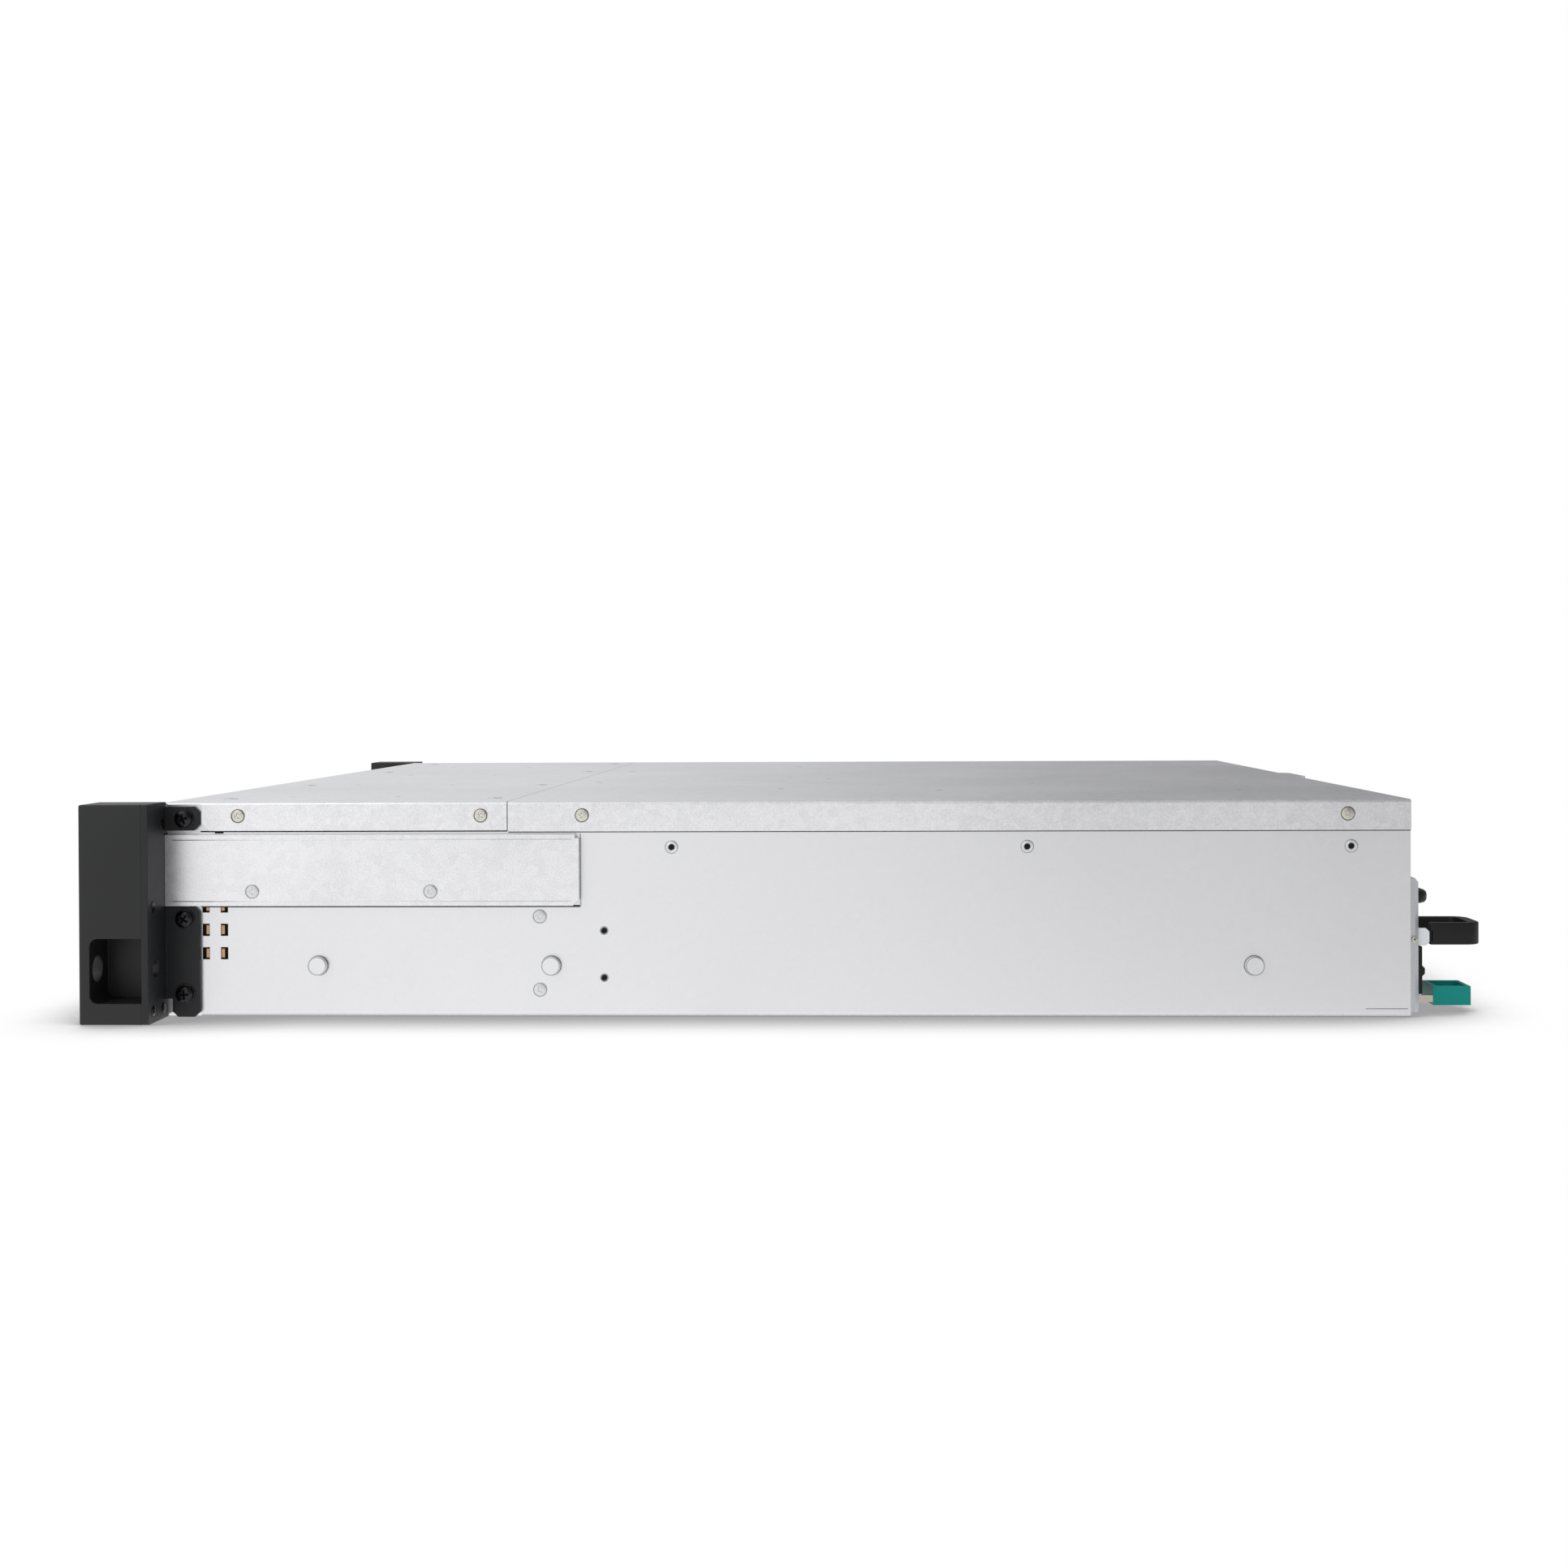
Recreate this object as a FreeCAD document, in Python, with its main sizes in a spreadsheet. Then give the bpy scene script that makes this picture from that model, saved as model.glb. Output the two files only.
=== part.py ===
import FreeCAD, Part
import math
import os
import re

import Sketcher
from FreeCAD import Vector

# A 2U disk shelf for twelve 3.5 inch disks, in millimetres.
# X runs to the right seen from the front, Y to the rear, Z up.
# The origin is on the underside, on the centre line, level with the bearing faces of the rack ears.

SIZES = {
    # Margin by which a cut runs past a face, and bite by which a pad runs into the body it joins
    "overcut": 1.0,
    "bite": 0.5,
    # Chassis pan, one folded sheet
    "pan_length": 505.3,
    "pan_gauge": 1.0,
    "pan_lip": 8.0,
    "pan_bend": 1.6,
    # Top covers
    "cover_gauge": 1.0,
    "cover_gap": 0.1,
    "cover_bend": 1.2,
    "cover_seam": 0.3,
    "front_cover_length": 140.3,
    "front_lip_depth": 11.8,
    "front_lip_gap": 0.7,
    "front_hem": 1.2,
    "rear_lip_depth": 12.3,
    "lip_corner": 3.0,
    "lip_relief": 1.0,
    "tab_middle": -12.0,
    "tab_width": 44.0,
    "tab_reach": 5.0,
    "tab_corner": 3.0,
    # Rack ears
    "ear_reach": 22.5,
    "ear_rise": 0.2,
    "ear_plate": 2.7,
    "ear_depth": 28.0,
    "ear_gap": 1.0,
    "ear_edge": 1.0,
    "leg_gauge": 2.0,
    "leg_length": 13.8,
    "leg_gap": 0.4,
    "leg_corner": 2.2,
    "leg_notch_length": 2.5,
    "leg_notch_height": 7.4,
    "upper_tab_gap": 1.7,
    "upper_tab_drop": 0.8,
    "rack_hole_radius": 3.5,
    "rack_hole_height": 21.5,
    "rack_hole_inset": 8.45,
    "access_radius": 5.35,
    "recess_low": 8.5,
    "recess_high": 34.5,
    "recess_wall": 4.3,
    "recess_web": 2.5,
    "recess_corner": 3.2,
    # Controls on the right ear
    "control_offset": 11.0,
    "button_radius": 4.2,
    "button_gap": 0.3,
    "button_length": 5.0,
    "button_proud": 0.6,
    "button_travel": 1.0,
    "button_height": 66.0,
    "lens_width": 3.0,
    "lens_height": 2.0,
    "lens_depth": 1.2,
    "lens_proud": 0.2,
    "lens_pitch": 5.5,
    "lens_low": 41.0,
    # Cable covers on the sides
    "channel_length": 170.0,
    "channel_low": 45.5,
    "channel_gap": 0.9,
    "channel_depth": 3.5,
    "channel_gauge": 0.8,
    "channel_corner": 2.6,
    "channel_relief": 1.6,
    # Rail studs and press nuts
    "stud_radius": 3.85,
    "stud_reach": 2.5,
    "stud_height": 20.8,
    "stud_front": 62.3,
    "stud_mid": 158.1,
    "stud_rear_inset": 62.6,
    "nut_hole_radius": 1.25,
    "nut_radius": 2.7,
    "nut_reach": 1.6,
    "nut_place": 179.7,
    "nut_low": 15.8,
    "nut_high": 35.0,
    # Contact slots in the sides and their spring fingers
    "slot_width": 3.0,
    "slot_height": 5.0,
    "slot_margin": 2.0,
    "slot_pitch": 7.6,
    "slot_low": 25.8,
    "slot_rise": 9.6,
    "finger_gauge": 0.5,
    "finger_height": 3.6,
    "finger_lap": 1.3,
    # Disk, its carrier and the drive cage
    "disk_width": 101.6,
    "disk_length": 147.0,
    "disk_height": 26.1,
    "disk_gap": 0.15,
    "disk_head_gap": 0.3,
    "disk_end_gap": 0.9,
    "cage_gauge": 1.0,
    "cage_floor": 0.8,
    "cage_side_gap": 1.0,
    "cage_head_gap": 0.4,
    "cage_lip_gap": 0.3,
    "runner_width": 2.3,
    "runner_gauge": 0.8,
    "runner_gap": 0.3,
    "cage_window_start": 50.0,
    "cage_window_length": 52.0,
    "cage_window_low": 5.0,
    "cage_window_height": 16.0,
    "cage_floor_window": 52.0,
    "rail_gauge": 2.25,
    "rail_height": 25.6,
    "rail_end_gap": 2.7,
    "strap_gauge": 0.8,
    "strap_width": 20.0,
    "strap_front": 14.0,
    "strap_rear_inset": 32.0,
    "bezel_gap": 0.5,
    "bezel_seat": 0.3,
    "bezel_front": 21.0,
    "bezel_back": 3.0,
    "bezel_flange": 1.3,
    "bezel_left": 4.0,
    "bezel_right": 6.0,
    "bezel_window_height": 15.4,
    # Carrier lever
    "lever_depth": 5.0,
    "lever_gap": 0.3,
    "lever_side_gap": 0.5,
    "lever_knuckle": 1.5,
    "lever_pin_radius": 1.0,
    "lever_pin_gap": 0.08,
    "lever_bevel": 2.0,
    "lever_slot_width": 52.0,
    "lever_slot_height": 3.4,
    "lever_slot_pitch": 6.0,
    "lever_slot_start": -38.0,
    "lever_catch_width": 9.0,
    "lever_catch_height": 12.0,
    "lever_catch_depth": 2.2,
    # Boards and connectors
    "board_gauge": 2.4,
    "board_side_gap": 4.5,
    "board_low": 2.2,
    "board_head_gap": 1.3,
    "board_vent_width": 50.0,
    "board_vent_height": 7.0,
    "board_vent_rise": 4.0,
    "connector_width": 42.0,
    "connector_height": 6.0,
    "connector_depth": 4.8,
    "connector_rise": 4.0,
    "connector_key": 1.6,
    "rear_board_gap": 12.6,
    "rear_board_height": 54.0,
    "socket_depth": 9.0,
    "socket_floor": 0.5,
    "socket_width": 36.0,
    "socket_height": 8.0,
    "tongue_width": 30.0,
    "tongue_gauge": 2.0,
    "tongue_length": 8.0,
    "tongue_height": 20.0,
    "tongue_gap": 0.4,
    # Fan wall and fans
    "fan_wall_gap": 10.9,
    "fan_wall_gauge": 1.0,
    "fan_wall_corner": 21.0,
    "fan_head_gap": 2.5,
    "fan_depth": 38.0,
    "fan_pitch": 134.0,
    "fan_rim": 2.4,
    "fan_back": 3.0,
    "fan_strut": 4.0,
    "fan_hub_radius": 17.0,
    "fan_shaft_radius": 2.0,
    "fan_shaft_gap": 0.05,
    "rotor_hub_radius": 16.0,
    "rotor_tip_gap": 1.0,
    "rotor_inset": 4.0,
    "rotor_run_gap": 0.8,
    "blade_gauge": 1.6,
    "blade_turn": 42.0,
    "blade_chord": 24.0,
    "blade_root": 10.0,
    "blade_count": 7,
    # Rear panel
    "rear_gauge": 1.0,
    "rear_flange": 12.0,
    "rear_vent_width": 14.0,
    "rear_vent_margin": 18.5,
    "rear_vent_sill": 4.1,
    "rear_vent_head": 5.8,
    "blank_vent_height": 16.0,
    "blank_vent_low": 10.0,
    "blank_vent_rise": 21.0,
    "bay_gap": 0.3,
    "bay_roof_gauge": 1.0,
    "bay_roof_inset": 25.8,
    # Power supplies
    "psu_width": 40.0,
    "psu_side_gap": 2.5,
    "psu_low": 1.3,
    "psu_height": 54.3,
    "psu_length": 226.8,
    "psu_proud": 4.5,
    "psu_edge": 1.8,
    "psu_vent_width": 3.0,
    "psu_vent_height": 11.0,
    "psu_vent_pitch": 5.2,
    "psu_vent_head": 3.6,
    "psu_vent_depth": 3.0,
    # Handle of a power supply
    "grip_offset": 3.0,
    "grip_width": 24.0,
    "grip_low": 28.0,
    "grip_height": 9.0,
    "grip_arm": 3.0,
    "grip_bar": 4.0,
    "grip_standoff": 5.6,
    "grip_reach": 26.7,
    "grip_mitre": 6.0,
    "grip_inner_mitre": 4.2,
    "grip_tongue_height": 4.4,
    "grip_tongue_bevel": 1.2,
    "grip_pivot_reach": 2.5,
    "grip_pivot_height": 31.5,
    "grip_pin_radius": 1.0,
    "grip_pin_gap": 0.06,
    "ear_tab_gauge": 1.5,
    "ear_tab_height": 7.0,
    "ear_tab_reach": 4.8,
    "ear_tab_corner": 1.4,
    "ear_tab_gap": 0.3,
    # Inlet of a power supply
    "inlet_offset": 1.5,
    "inlet_width": 27.0,
    "inlet_height": 19.3,
    "inlet_low": 8.0,
    "inlet_flange": 2.4,
    "inlet_wall": 1.5,
    "inlet_depth": 18.0,
    "inlet_body_gap": 0.1,
    "inlet_step": 0.6,
    "inlet_bevel": 4.5,
    "inlet_boss": 2.2,
    "inlet_boss_place": 17.4,
    # Latch of a power supply
    "leaf_gauge": 1.0,
    "leaf_height": 2.8,
    "leaf_low": 4.3,
    "leaf_offset": 11.5,
    "leaf_inset": 2.8,
    "leaf_slot_gap": 0.3,
    "leaf_swing": 0.6,
    "loop_standoff": 7.7,
    "loop_reach": 22.8,
    "loop_low": 3.0,
    "loop_height": 7.7,
    "loop_width": 17.0,
    "loop_wall": 1.6,
    # Input and output module
    "io_side_gap": 10.0,
    "io_width": 160.0,
    "io_plate": 1.5,
    "io_lap": 1.2,
    "io_grip_inset": 30.0,
    "io_grip_width": 100.0,
    "io_grip_low": 36.5,
    "io_grip_height": 6.0,
    "io_grip_arm": 8.0,
    "io_grip_reach": 30.2,
    "io_grip_mitre": 5.0,
    "io_grip_edge": 1.6,
    "port_width": 26.0,
    "port_height": 11.0,
    "port_depth": 16.0,
    "port_proud": 1.2,
    "port_wall": 0.8,
    "port_pitch": 34.0,
    "port_start": 16.0,
    "port_low": 9.0,
    "port_gap": 0.1,
    "jack_width": 16.0,
    "jack_height": 13.5,
    "jack_place": 136.0,
}

COLUMNS = 4
ROWS = 3
FANS = 3
HUB_SIDES = 14
PIN_SIDES = 6
NUT_SIDES = 6
PORTS = 3
REAR_VENTS = 21
BLANK_VENTS = 8
BLANK_VENT_ROWS = 2
PSU_VENTS = 6

# Sizes that follow from the ones above, so that pieces still fit each other when one of those changes
DERIVED = {
    "column_pitch": "disk_width + 2 * (disk_gap + rail_gauge + runner_gap) + cage_gauge",
    "row_pitch": "runner_gap + strap_gauge + disk_height + disk_head_gap",
    "cage_height": f"{ROWS} * row_pitch + 2 * cage_floor + cage_head_gap",
    "cage_length": "disk_length + disk_end_gap + connector_depth",
    "rail_end": "cage_length - rail_end_gap",
    "strap_rear": "rail_end - strap_rear_inset",
    "pan_width": f"{COLUMNS} * column_pitch + cage_gauge + 2 * (cage_side_gap + pan_gauge)",
    "pan_height": "cage_height + cage_lip_gap + 2 * pan_gauge",
    "channel_high": "pan_height + cover_gauge - rear_lip_depth - channel_gap",
    "panel_width": "pan_width + 2 * ear_reach",
    "ear_height": "pan_height + cover_gauge + ear_rise",
    "rack_hole_spacing": "panel_width - 2 * rack_hole_inset",
    "recess_depth": "ear_reach - ear_gap - recess_web",
    "leg_top": "channel_low - leg_gap",
    "upper_tab_low": "channel_high + upper_tab_gap",
    "upper_tab_high": "pan_height - upper_tab_drop",
    "front_lip_start": "leg_length + front_lip_gap",
    "slot_place": "leg_length + slot_margin",
    "stud_rear": "pan_length - stud_rear_inset",
    "board_top": "pan_gauge + cage_height - board_head_gap",
    "fan_wall_place": "cage_length + board_gauge + fan_wall_gap",
    "fan_side": "cage_height - 2 * fan_wall_gauge - fan_head_gap",
    "fan_bore": "fan_side / 2 - fan_rim",
    "psu_place": "pan_width / 2 - pan_gauge - psu_side_gap - psu_width / 2",
    "psu_rear": "pan_length + psu_proud",
    "psu_front": "psu_rear - psu_length",
    "psu_vent_low": "psu_low + psu_height - psu_vent_head - psu_vent_height",
    "rear_board_place": "psu_front - rear_board_gap - board_gauge",
    "rear_vent_low": "psu_low + psu_height + bay_gap + bay_roof_gauge + rear_vent_sill",
    "rear_vent_height": "pan_height - rear_vent_head - rear_vent_low",
    "rear_vent_pitch": f"(pan_width - 2 * rear_vent_margin) / {REAR_VENTS - 1}",
    "bay_roof_length": "psu_length - bay_roof_inset",
    "grip_start": "psu_rear + grip_standoff",
    "grip_end": "psu_rear + grip_reach",
    "grip_pivot_place": "psu_rear + grip_pivot_reach",
    "leaf_root": "psu_rear - leaf_inset",
    "loop_start": "psu_rear + loop_standoff",
    "loop_end": "psu_rear + loop_reach",
    "io_left": "psu_place - psu_width / 2 - io_side_gap - io_width",
    "io_grip_left": "io_left + io_grip_inset",
    "io_grip_end": "pan_length + io_plate + io_grip_reach",
}

doc = FreeCAD.newDocument("DiskShelf")
sheet = doc.addObject("Spreadsheet::Sheet", "Sizes")
pieces = []


def fill_sheet():
    for row, (alias, number) in enumerate(SIZES.items(), start=1):
        sheet.set(f"A{row}", alias)
        sheet.set(f"B{row}", str(number))
        sheet.setAlias(f"B{row}", alias)
    doc.recompute()


def cell(word):
    name = word[0]
    if name in DERIVED:
        return f"({formula(DERIVED[name])})"
    return "Sizes." + name if name in SIZES else name


def formula(text):
    """An expression on the sheet's cells, from one that names their aliases and the sizes that follow."""
    return re.sub(r"[a-z_]\w*", cell, str(text))


def value(text):
    return float(sheet.evalExpression(formula(text)))


def bind(item, path, text):
    item.setExpression(path, formula(text))


def body_named(label):
    body = doc.addObject("PartDesign::Body", label)
    body.Label = label
    body.AllowCompound = True
    return body


def piece(label):
    """A body that becomes one file; it may hold several equal solids."""
    body = body_named(label)
    pieces.append(body)
    return body


def piece_of(label, bodies):
    """Bodies that meet face to face and become one file, as separate solids."""
    group = doc.addObject("Part::Compound", label)
    group.Label = label
    group.Links = bodies
    pieces.append(group)


def place(body, right="0", back="0", up="0"):
    bind(body, "Placement.Base.x", right)
    bind(body, "Placement.Base.y", back)
    bind(body, "Placement.Base.z", up)


def origin_part(body, role):
    return next(part for part in body.Origin.OriginFeatures if part.Role == role)


def corner_arc(before, corner, after, radius):
    """The tangent points and the middle of the arc that rounds a corner."""
    back = (before - corner).normalize()
    onward = (after - corner).normalize()
    half_angle = back.getAngle(onward) / 2
    reach = radius / math.tan(half_angle)
    bisector = (back + onward).normalize()
    middle = corner + bisector * (radius / math.sin(half_angle) - radius)
    return corner + back * reach, middle, corner + onward * reach


class Rules:
    """The constraints of one sketch, added together and then bound to their expressions."""

    def __init__(self):
        self.rules = []

    def add(self, *rule, text=None):
        size = [] if text is None else [value(text)]
        self.rules.append((Sketcher.Constraint(*rule, *size), text))

    def pin_point(self, item, end, point):
        self.add("DistanceX", -1, 1, item, end, text=point[0])
        self.add("DistanceY", -1, 1, item, end, text=point[1])

    def apply(self, sketch):
        numbers = sketch.addConstraint([rule for rule, text in self.rules])
        for number, (rule, text) in zip(numbers, self.rules):
            if text is not None:
                bind(sketch, f"Constraints[{number}]", text)


def draw_circle(sketch, rules, circle):
    middle = Vector(value(circle.across), value(circle.along), 0)
    item = sketch.addGeometry(Part.Circle(middle, Vector(0, 0, 1), value(circle.radius)))
    rules.pin_point(item, 3, (circle.across, circle.along))
    rules.add("Radius", item, text=circle.radius)


def draw_outline(sketch, rules, points):
    """A closed outline of corners (across, along) or rounded corners (across, along, radius)."""
    corners = [Vector(value(point[0]), value(point[1]), 0) for point in points]
    count = len(points)
    starts, ends, arcs = list(corners), list(corners), {}
    for index, point in enumerate(points):
        if len(point) == 3:
            before, after = corners[index - 1], corners[(index + 1) % count]
            arcs[index] = corner_arc(before, corners[index], after, value(point[2]))
            ends[index], starts[index] = arcs[index][0], arcs[index][2]
    lines = [
        sketch.addGeometry(Part.LineSegment(starts[index], ends[(index + 1) % count]))
        for index in range(count)
    ]
    for index, point in enumerate(points):
        before, after = lines[index - 1], lines[index]
        if index in arcs:
            round_corner(sketch, rules, (before, after), arcs[index], corners[index], point)
        else:
            rules.add("Coincident", before, 2, after, 1)
            rules.pin_point(after, 1, point)


def round_corner(sketch, rules, lines, arc, corner, point):
    curve = sketch.addGeometry(Part.Arc(*arc))
    start, end = sketch.Geometry[curve].StartPoint, sketch.Geometry[curve].EndPoint
    forward = (start - arc[0]).Length < (end - arc[0]).Length
    first, last = (1, 2) if forward else (2, 1)
    mark = sketch.addGeometry(Part.Point(corner), True)
    rules.add("Tangent", lines[0], 2, curve, first)
    rules.add("Tangent", curve, last, lines[1], 1)
    rules.add("PointOnObject", mark, 1, lines[0])
    rules.add("PointOnObject", mark, 1, lines[1])
    rules.pin_point(mark, 1, point)
    rules.add("Radius", curve, text=point[2])


def sketch_on(body, role, figures, level):
    """A sketch on one of the body's origin planes, moved along that plane's axis to a level."""
    sketch = body.newObject("Sketcher::SketchObject", body.Name + "_sketch")
    sketch.AttachmentSupport = [(origin_part(body, role + "_Plane"), "")]
    sketch.MapMode = "FlatFace"
    bind(sketch, "AttachmentOffset.Base.z", f"-({level})" if role == "XZ" else level)
    rules = Rules()
    for figure in figures:
        if isinstance(figure, Circle):
            draw_circle(sketch, rules, figure)
        else:
            draw_outline(sketch, rules, figure)
    rules.apply(sketch)
    return sketch


class Circle:
    def __init__(self, across, along, radius):
        self.across, self.along, self.radius = across, along, radius


def add(body, role, figures, low, high):
    """Material between two levels along the axis that is normal to the plane."""
    pad = body.newObject("PartDesign::Pad", body.Name + "_pad")
    pad.Profile = sketch_on(body, role, figures, low)
    bind(pad, "Length", f"({high}) - ({low})")
    pad.Reversed = role == "XZ"
    return pad


def cut(body, role, figures, low, high):
    """A cut between two levels along the axis that is normal to the plane."""
    pocket = body.newObject("PartDesign::Pocket", body.Name + "_pocket")
    pocket.Profile = sketch_on(body, role, figures, low)
    bind(pocket, "Length", f"({high}) - ({low})")
    pocket.Reversed = role != "XZ"
    return pocket


def box(left, right, low, high, *radius):
    """A rectangle as an outline, with one radius on all its corners when it is given."""
    corners = [(left, low), (right, low), (right, high), (left, high)]
    return [corner + radius for corner in corners]


def centred(middle, width, low, height, *radius):
    half = f"({width}) / 2"
    return box(f"({middle}) - {half}", f"({middle}) + {half}", low, f"({low}) + ({height})", *radius)


def chamfered(across, along, width, height, chamfer):
    """A slot with its four corners cut off, round a middle point."""
    left, right = f"({across}) - {width} / 2", f"({across}) + {width} / 2"
    low, high = f"({along}) - {height} / 2", f"({along}) + {height} / 2"
    return [
        (f"{left} + {chamfer}", low),
        (f"{right} - {chamfer}", low),
        (right, f"{low} + {chamfer}"),
        (right, f"{high} - {chamfer}"),
        (f"{right} - {chamfer}", high),
        (f"{left} + {chamfer}", high),
        (left, f"{high} - {chamfer}"),
        (left, f"{low} + {chamfer}"),
    ]


def polygon(across, along, radius, sides):
    """A regular outline with a flat side at its top."""
    angles = [90 + 360 / sides * (corner + 0.5) for corner in range(sides)]
    return [
        (f"{across} + ({radius}) * cos({angle})", f"{along} + ({radius}) * sin({angle})")
        for angle in angles
    ]


def socket(across, along, radius, sides):
    """A regular outline in which a round pin of this radius just turns."""
    return polygon(across, along, f"({radius}) / cos({180 / sides})", sides)


def pattern(body, feature, axis, count, pitch):
    """Repeat a feature along one of the body's axes."""
    doc.recompute()
    repeat = body.newObject("PartDesign::LinearPattern", body.Name + "_pattern")
    repeat.Originals = [feature]
    repeat.Direction = (origin_part(body, axis + "_Axis"), [""])
    repeat.Mode = "Spacing"
    repeat.Occurrences = count
    bind(repeat, "Offset", pitch)
    body.Tip = repeat


def bevel_edges(body, feature, size, chosen):
    """Bevel the straight edges for which chosen(start, end) is true."""
    doc.recompute()
    names = []
    for number, edge in enumerate(feature.Shape.Edges, start=1):
        ends = [vertex.Point for vertex in edge.Vertexes]
        if len(ends) == 2 and chosen(*ends):
            names.append(f"Edge{number}")
    bevel = body.newObject("PartDesign::Chamfer", body.Name + "_bevel")
    bevel.Base = (feature, names)
    bind(bevel, "Size", size)


def near(first, second):
    return abs(first - second) < 1e-4


def mirrored_piece(label, source):
    """The other-hand copy of a piece, across the centre plane."""
    copy = doc.addObject("Part::Mirroring", label)
    copy.Label = label
    copy.Source = source
    copy.Base = Vector(0, 0, 0)
    copy.Normal = Vector(1, 0, 0)
    pieces.append(copy)


PAN_SIDE = "pan_width / 2"
PAN_INSIDE = "pan_width / 2 - pan_gauge"
PAN_BEND = "(pan_width / 2 - 2 * pan_bend)"
COVER_INSIDE = "pan_width / 2 + cover_gap"
COVER_SIDE = "pan_width / 2 + cover_gap + cover_gauge"
TOP = "pan_height + cover_gauge"
CHANNEL_SIDE = "pan_width / 2 + channel_depth"
LEG_SIDE = "pan_width / 2 + leg_gauge"
EAR_INSIDE = "pan_width / 2 + ear_gap"
NUT_INSIDE = f"{PAN_INSIDE} - nut_reach"
CAGE_LOW = "pan_gauge"
FIRST_ROW = "pan_gauge + cage_floor"
CAGE_ROOF = "(pan_gauge + cage_height - cage_floor)"
CAGE_TOP = "(pan_gauge + cage_height)"
CAGE_HALF = f"({COLUMNS / 2} * column_pitch + cage_gauge / 2)"
BAY_HALF = "(column_pitch / 2 - cage_gauge / 2)"
FAN_LOW = "pan_gauge + fan_wall_gauge"
FAN_MIDDLE = "(pan_gauge + fan_wall_gauge + fan_side / 2)"
FAN_FRONT = "(fan_wall_place + fan_wall_gauge)"
REAR_INNER = "pan_length - rear_gauge"


def contact_slots():
    return [
        centred(
            f"slot_place + {column} * slot_pitch",
            "slot_width",
            f"slot_low + {row} * slot_rise - slot_height / 2",
            "slot_height",
        )
        for column in range(2)
        for row in range(3)
    ]


NUT_SPOTS = (("nut_place", "nut_low"), ("nut_place", "nut_high"))


def flipped(points):
    """The other-hand copy of an outline, across the centre plane."""
    return [(f"-({point[0]})", *point[1:]) for point in reversed(points)]


def chassis_pan():
    """One folded sheet; its floor, its sides and the lips on them are solids that meet face to face."""
    floor = body_named("pan_floor")
    add(floor, "XZ", [box(f"-{PAN_BEND}", PAN_BEND, "0", "pan_gauge")], "0", "pan_length")
    sides = body_named("pan_sides")
    side = [
        (PAN_BEND, "0"),
        (PAN_SIDE, "0", "pan_bend"),
        (PAN_SIDE, "pan_height"),
        (PAN_INSIDE, "pan_height"),
        (PAN_INSIDE, "pan_gauge"),
        (PAN_BEND, "pan_gauge"),
    ]
    add(sides, "XZ", [side, flipped(side)], "0", "pan_length")
    figures = contact_slots() + [Circle(*spot, "nut_hole_radius") for spot in NUT_SPOTS]
    cut(sides, "YZ", figures, f"-({PAN_SIDE}) - overcut", f"{PAN_SIDE} + overcut")
    lips = body_named("pan_lips")
    lip = box(f"{PAN_SIDE} - pan_lip", PAN_INSIDE, "pan_height - pan_gauge", "pan_height")
    add(lips, "XZ", [lip, flipped(lip)], "0", "pan_length")
    piece_of("chassis_pan", [floor, sides, lips])


def cover_profile(lip_depth):
    """Section of a top cover: a flat plate with a lip folded down over each side of the pan."""
    low = f"{TOP} - {lip_depth}"
    return [
        (f"-({COVER_SIDE})", low),
        (f"-({COVER_INSIDE})", low),
        (f"-({COVER_INSIDE})", "pan_height"),
        (COVER_INSIDE, "pan_height"),
        (COVER_INSIDE, low),
        (COVER_SIDE, low),
        (COVER_SIDE, TOP, "cover_bend"),
        (f"-({COVER_SIDE})", TOP, "cover_bend"),
    ]


def across_lips(body, figure):
    """Cut one outline through both side lips."""
    cut(body, "YZ", [figure], f"-({COVER_SIDE}) - overcut", f"{COVER_SIDE} + overcut")


def front_top_cover():
    body = piece("front_top_cover")
    add(body, "XZ", [cover_profile("front_lip_depth")], "0", "front_cover_length")
    low = f"{TOP} - front_lip_depth"
    notch = [
        ("-overcut", f"{low} - overcut"),
        ("front_lip_start + lip_corner", f"{low} - overcut"),
        ("front_lip_start + lip_corner", low),
        ("front_lip_start", f"{low} + lip_corner"),
        ("front_lip_start", "pan_height", "lip_relief"),
        ("-overcut", "pan_height"),
    ]
    across_lips(body, notch)
    hem = centred("0", "pan_width - 2 * pan_lip", "pan_height - front_hem", "front_hem")
    add(body, "XZ", [hem], "0", "cover_gauge")


def rear_top_cover():
    body = piece("rear_top_cover")
    add(
        body,
        "XZ",
        [cover_profile("rear_lip_depth")],
        "front_cover_length + cover_seam",
        "pan_length",
    )
    tab = [
        ("tab_middle - tab_width / 2", "pan_length - bite"),
        ("tab_middle + tab_width / 2", "pan_length - bite"),
        ("tab_middle + tab_width / 2", "pan_length + tab_reach - tab_corner"),
        ("tab_middle + tab_width / 2 - tab_corner", "pan_length + tab_reach"),
        ("tab_middle - tab_width / 2 + tab_corner", "pan_length + tab_reach"),
        ("tab_middle - tab_width / 2", "pan_length + tab_reach - tab_corner"),
    ]
    add(body, "XY", [tab], "pan_height", TOP)


def wall_side(middle, way, beside_bay):
    """One side of a cage wall from the bottom up, with a ledge below each upper row of a bay beside it."""
    face = f"{middle} + {way} * cage_gauge / 2"
    tip = f"{middle} + {way} * (cage_gauge / 2 + runner_width)"
    corners = [(face, FIRST_ROW)]
    for row in range(1, ROWS) if beside_bay else ():
        ledge = f"{FIRST_ROW} + {row} * row_pitch"
        corners += [
            (face, f"{ledge} - runner_gauge"),
            (tip, f"{ledge} - runner_gauge"),
            (tip, ledge),
            (face, ledge),
        ]
    return corners + [(face, CAGE_ROOF)]


def cage_wall(number):
    middle = f"({number} - {COLUMNS / 2}) * column_pitch"
    right = wall_side(middle, 1, number < COLUMNS)
    left = wall_side(middle, -1, number > 0)
    return right + left[::-1]


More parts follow.
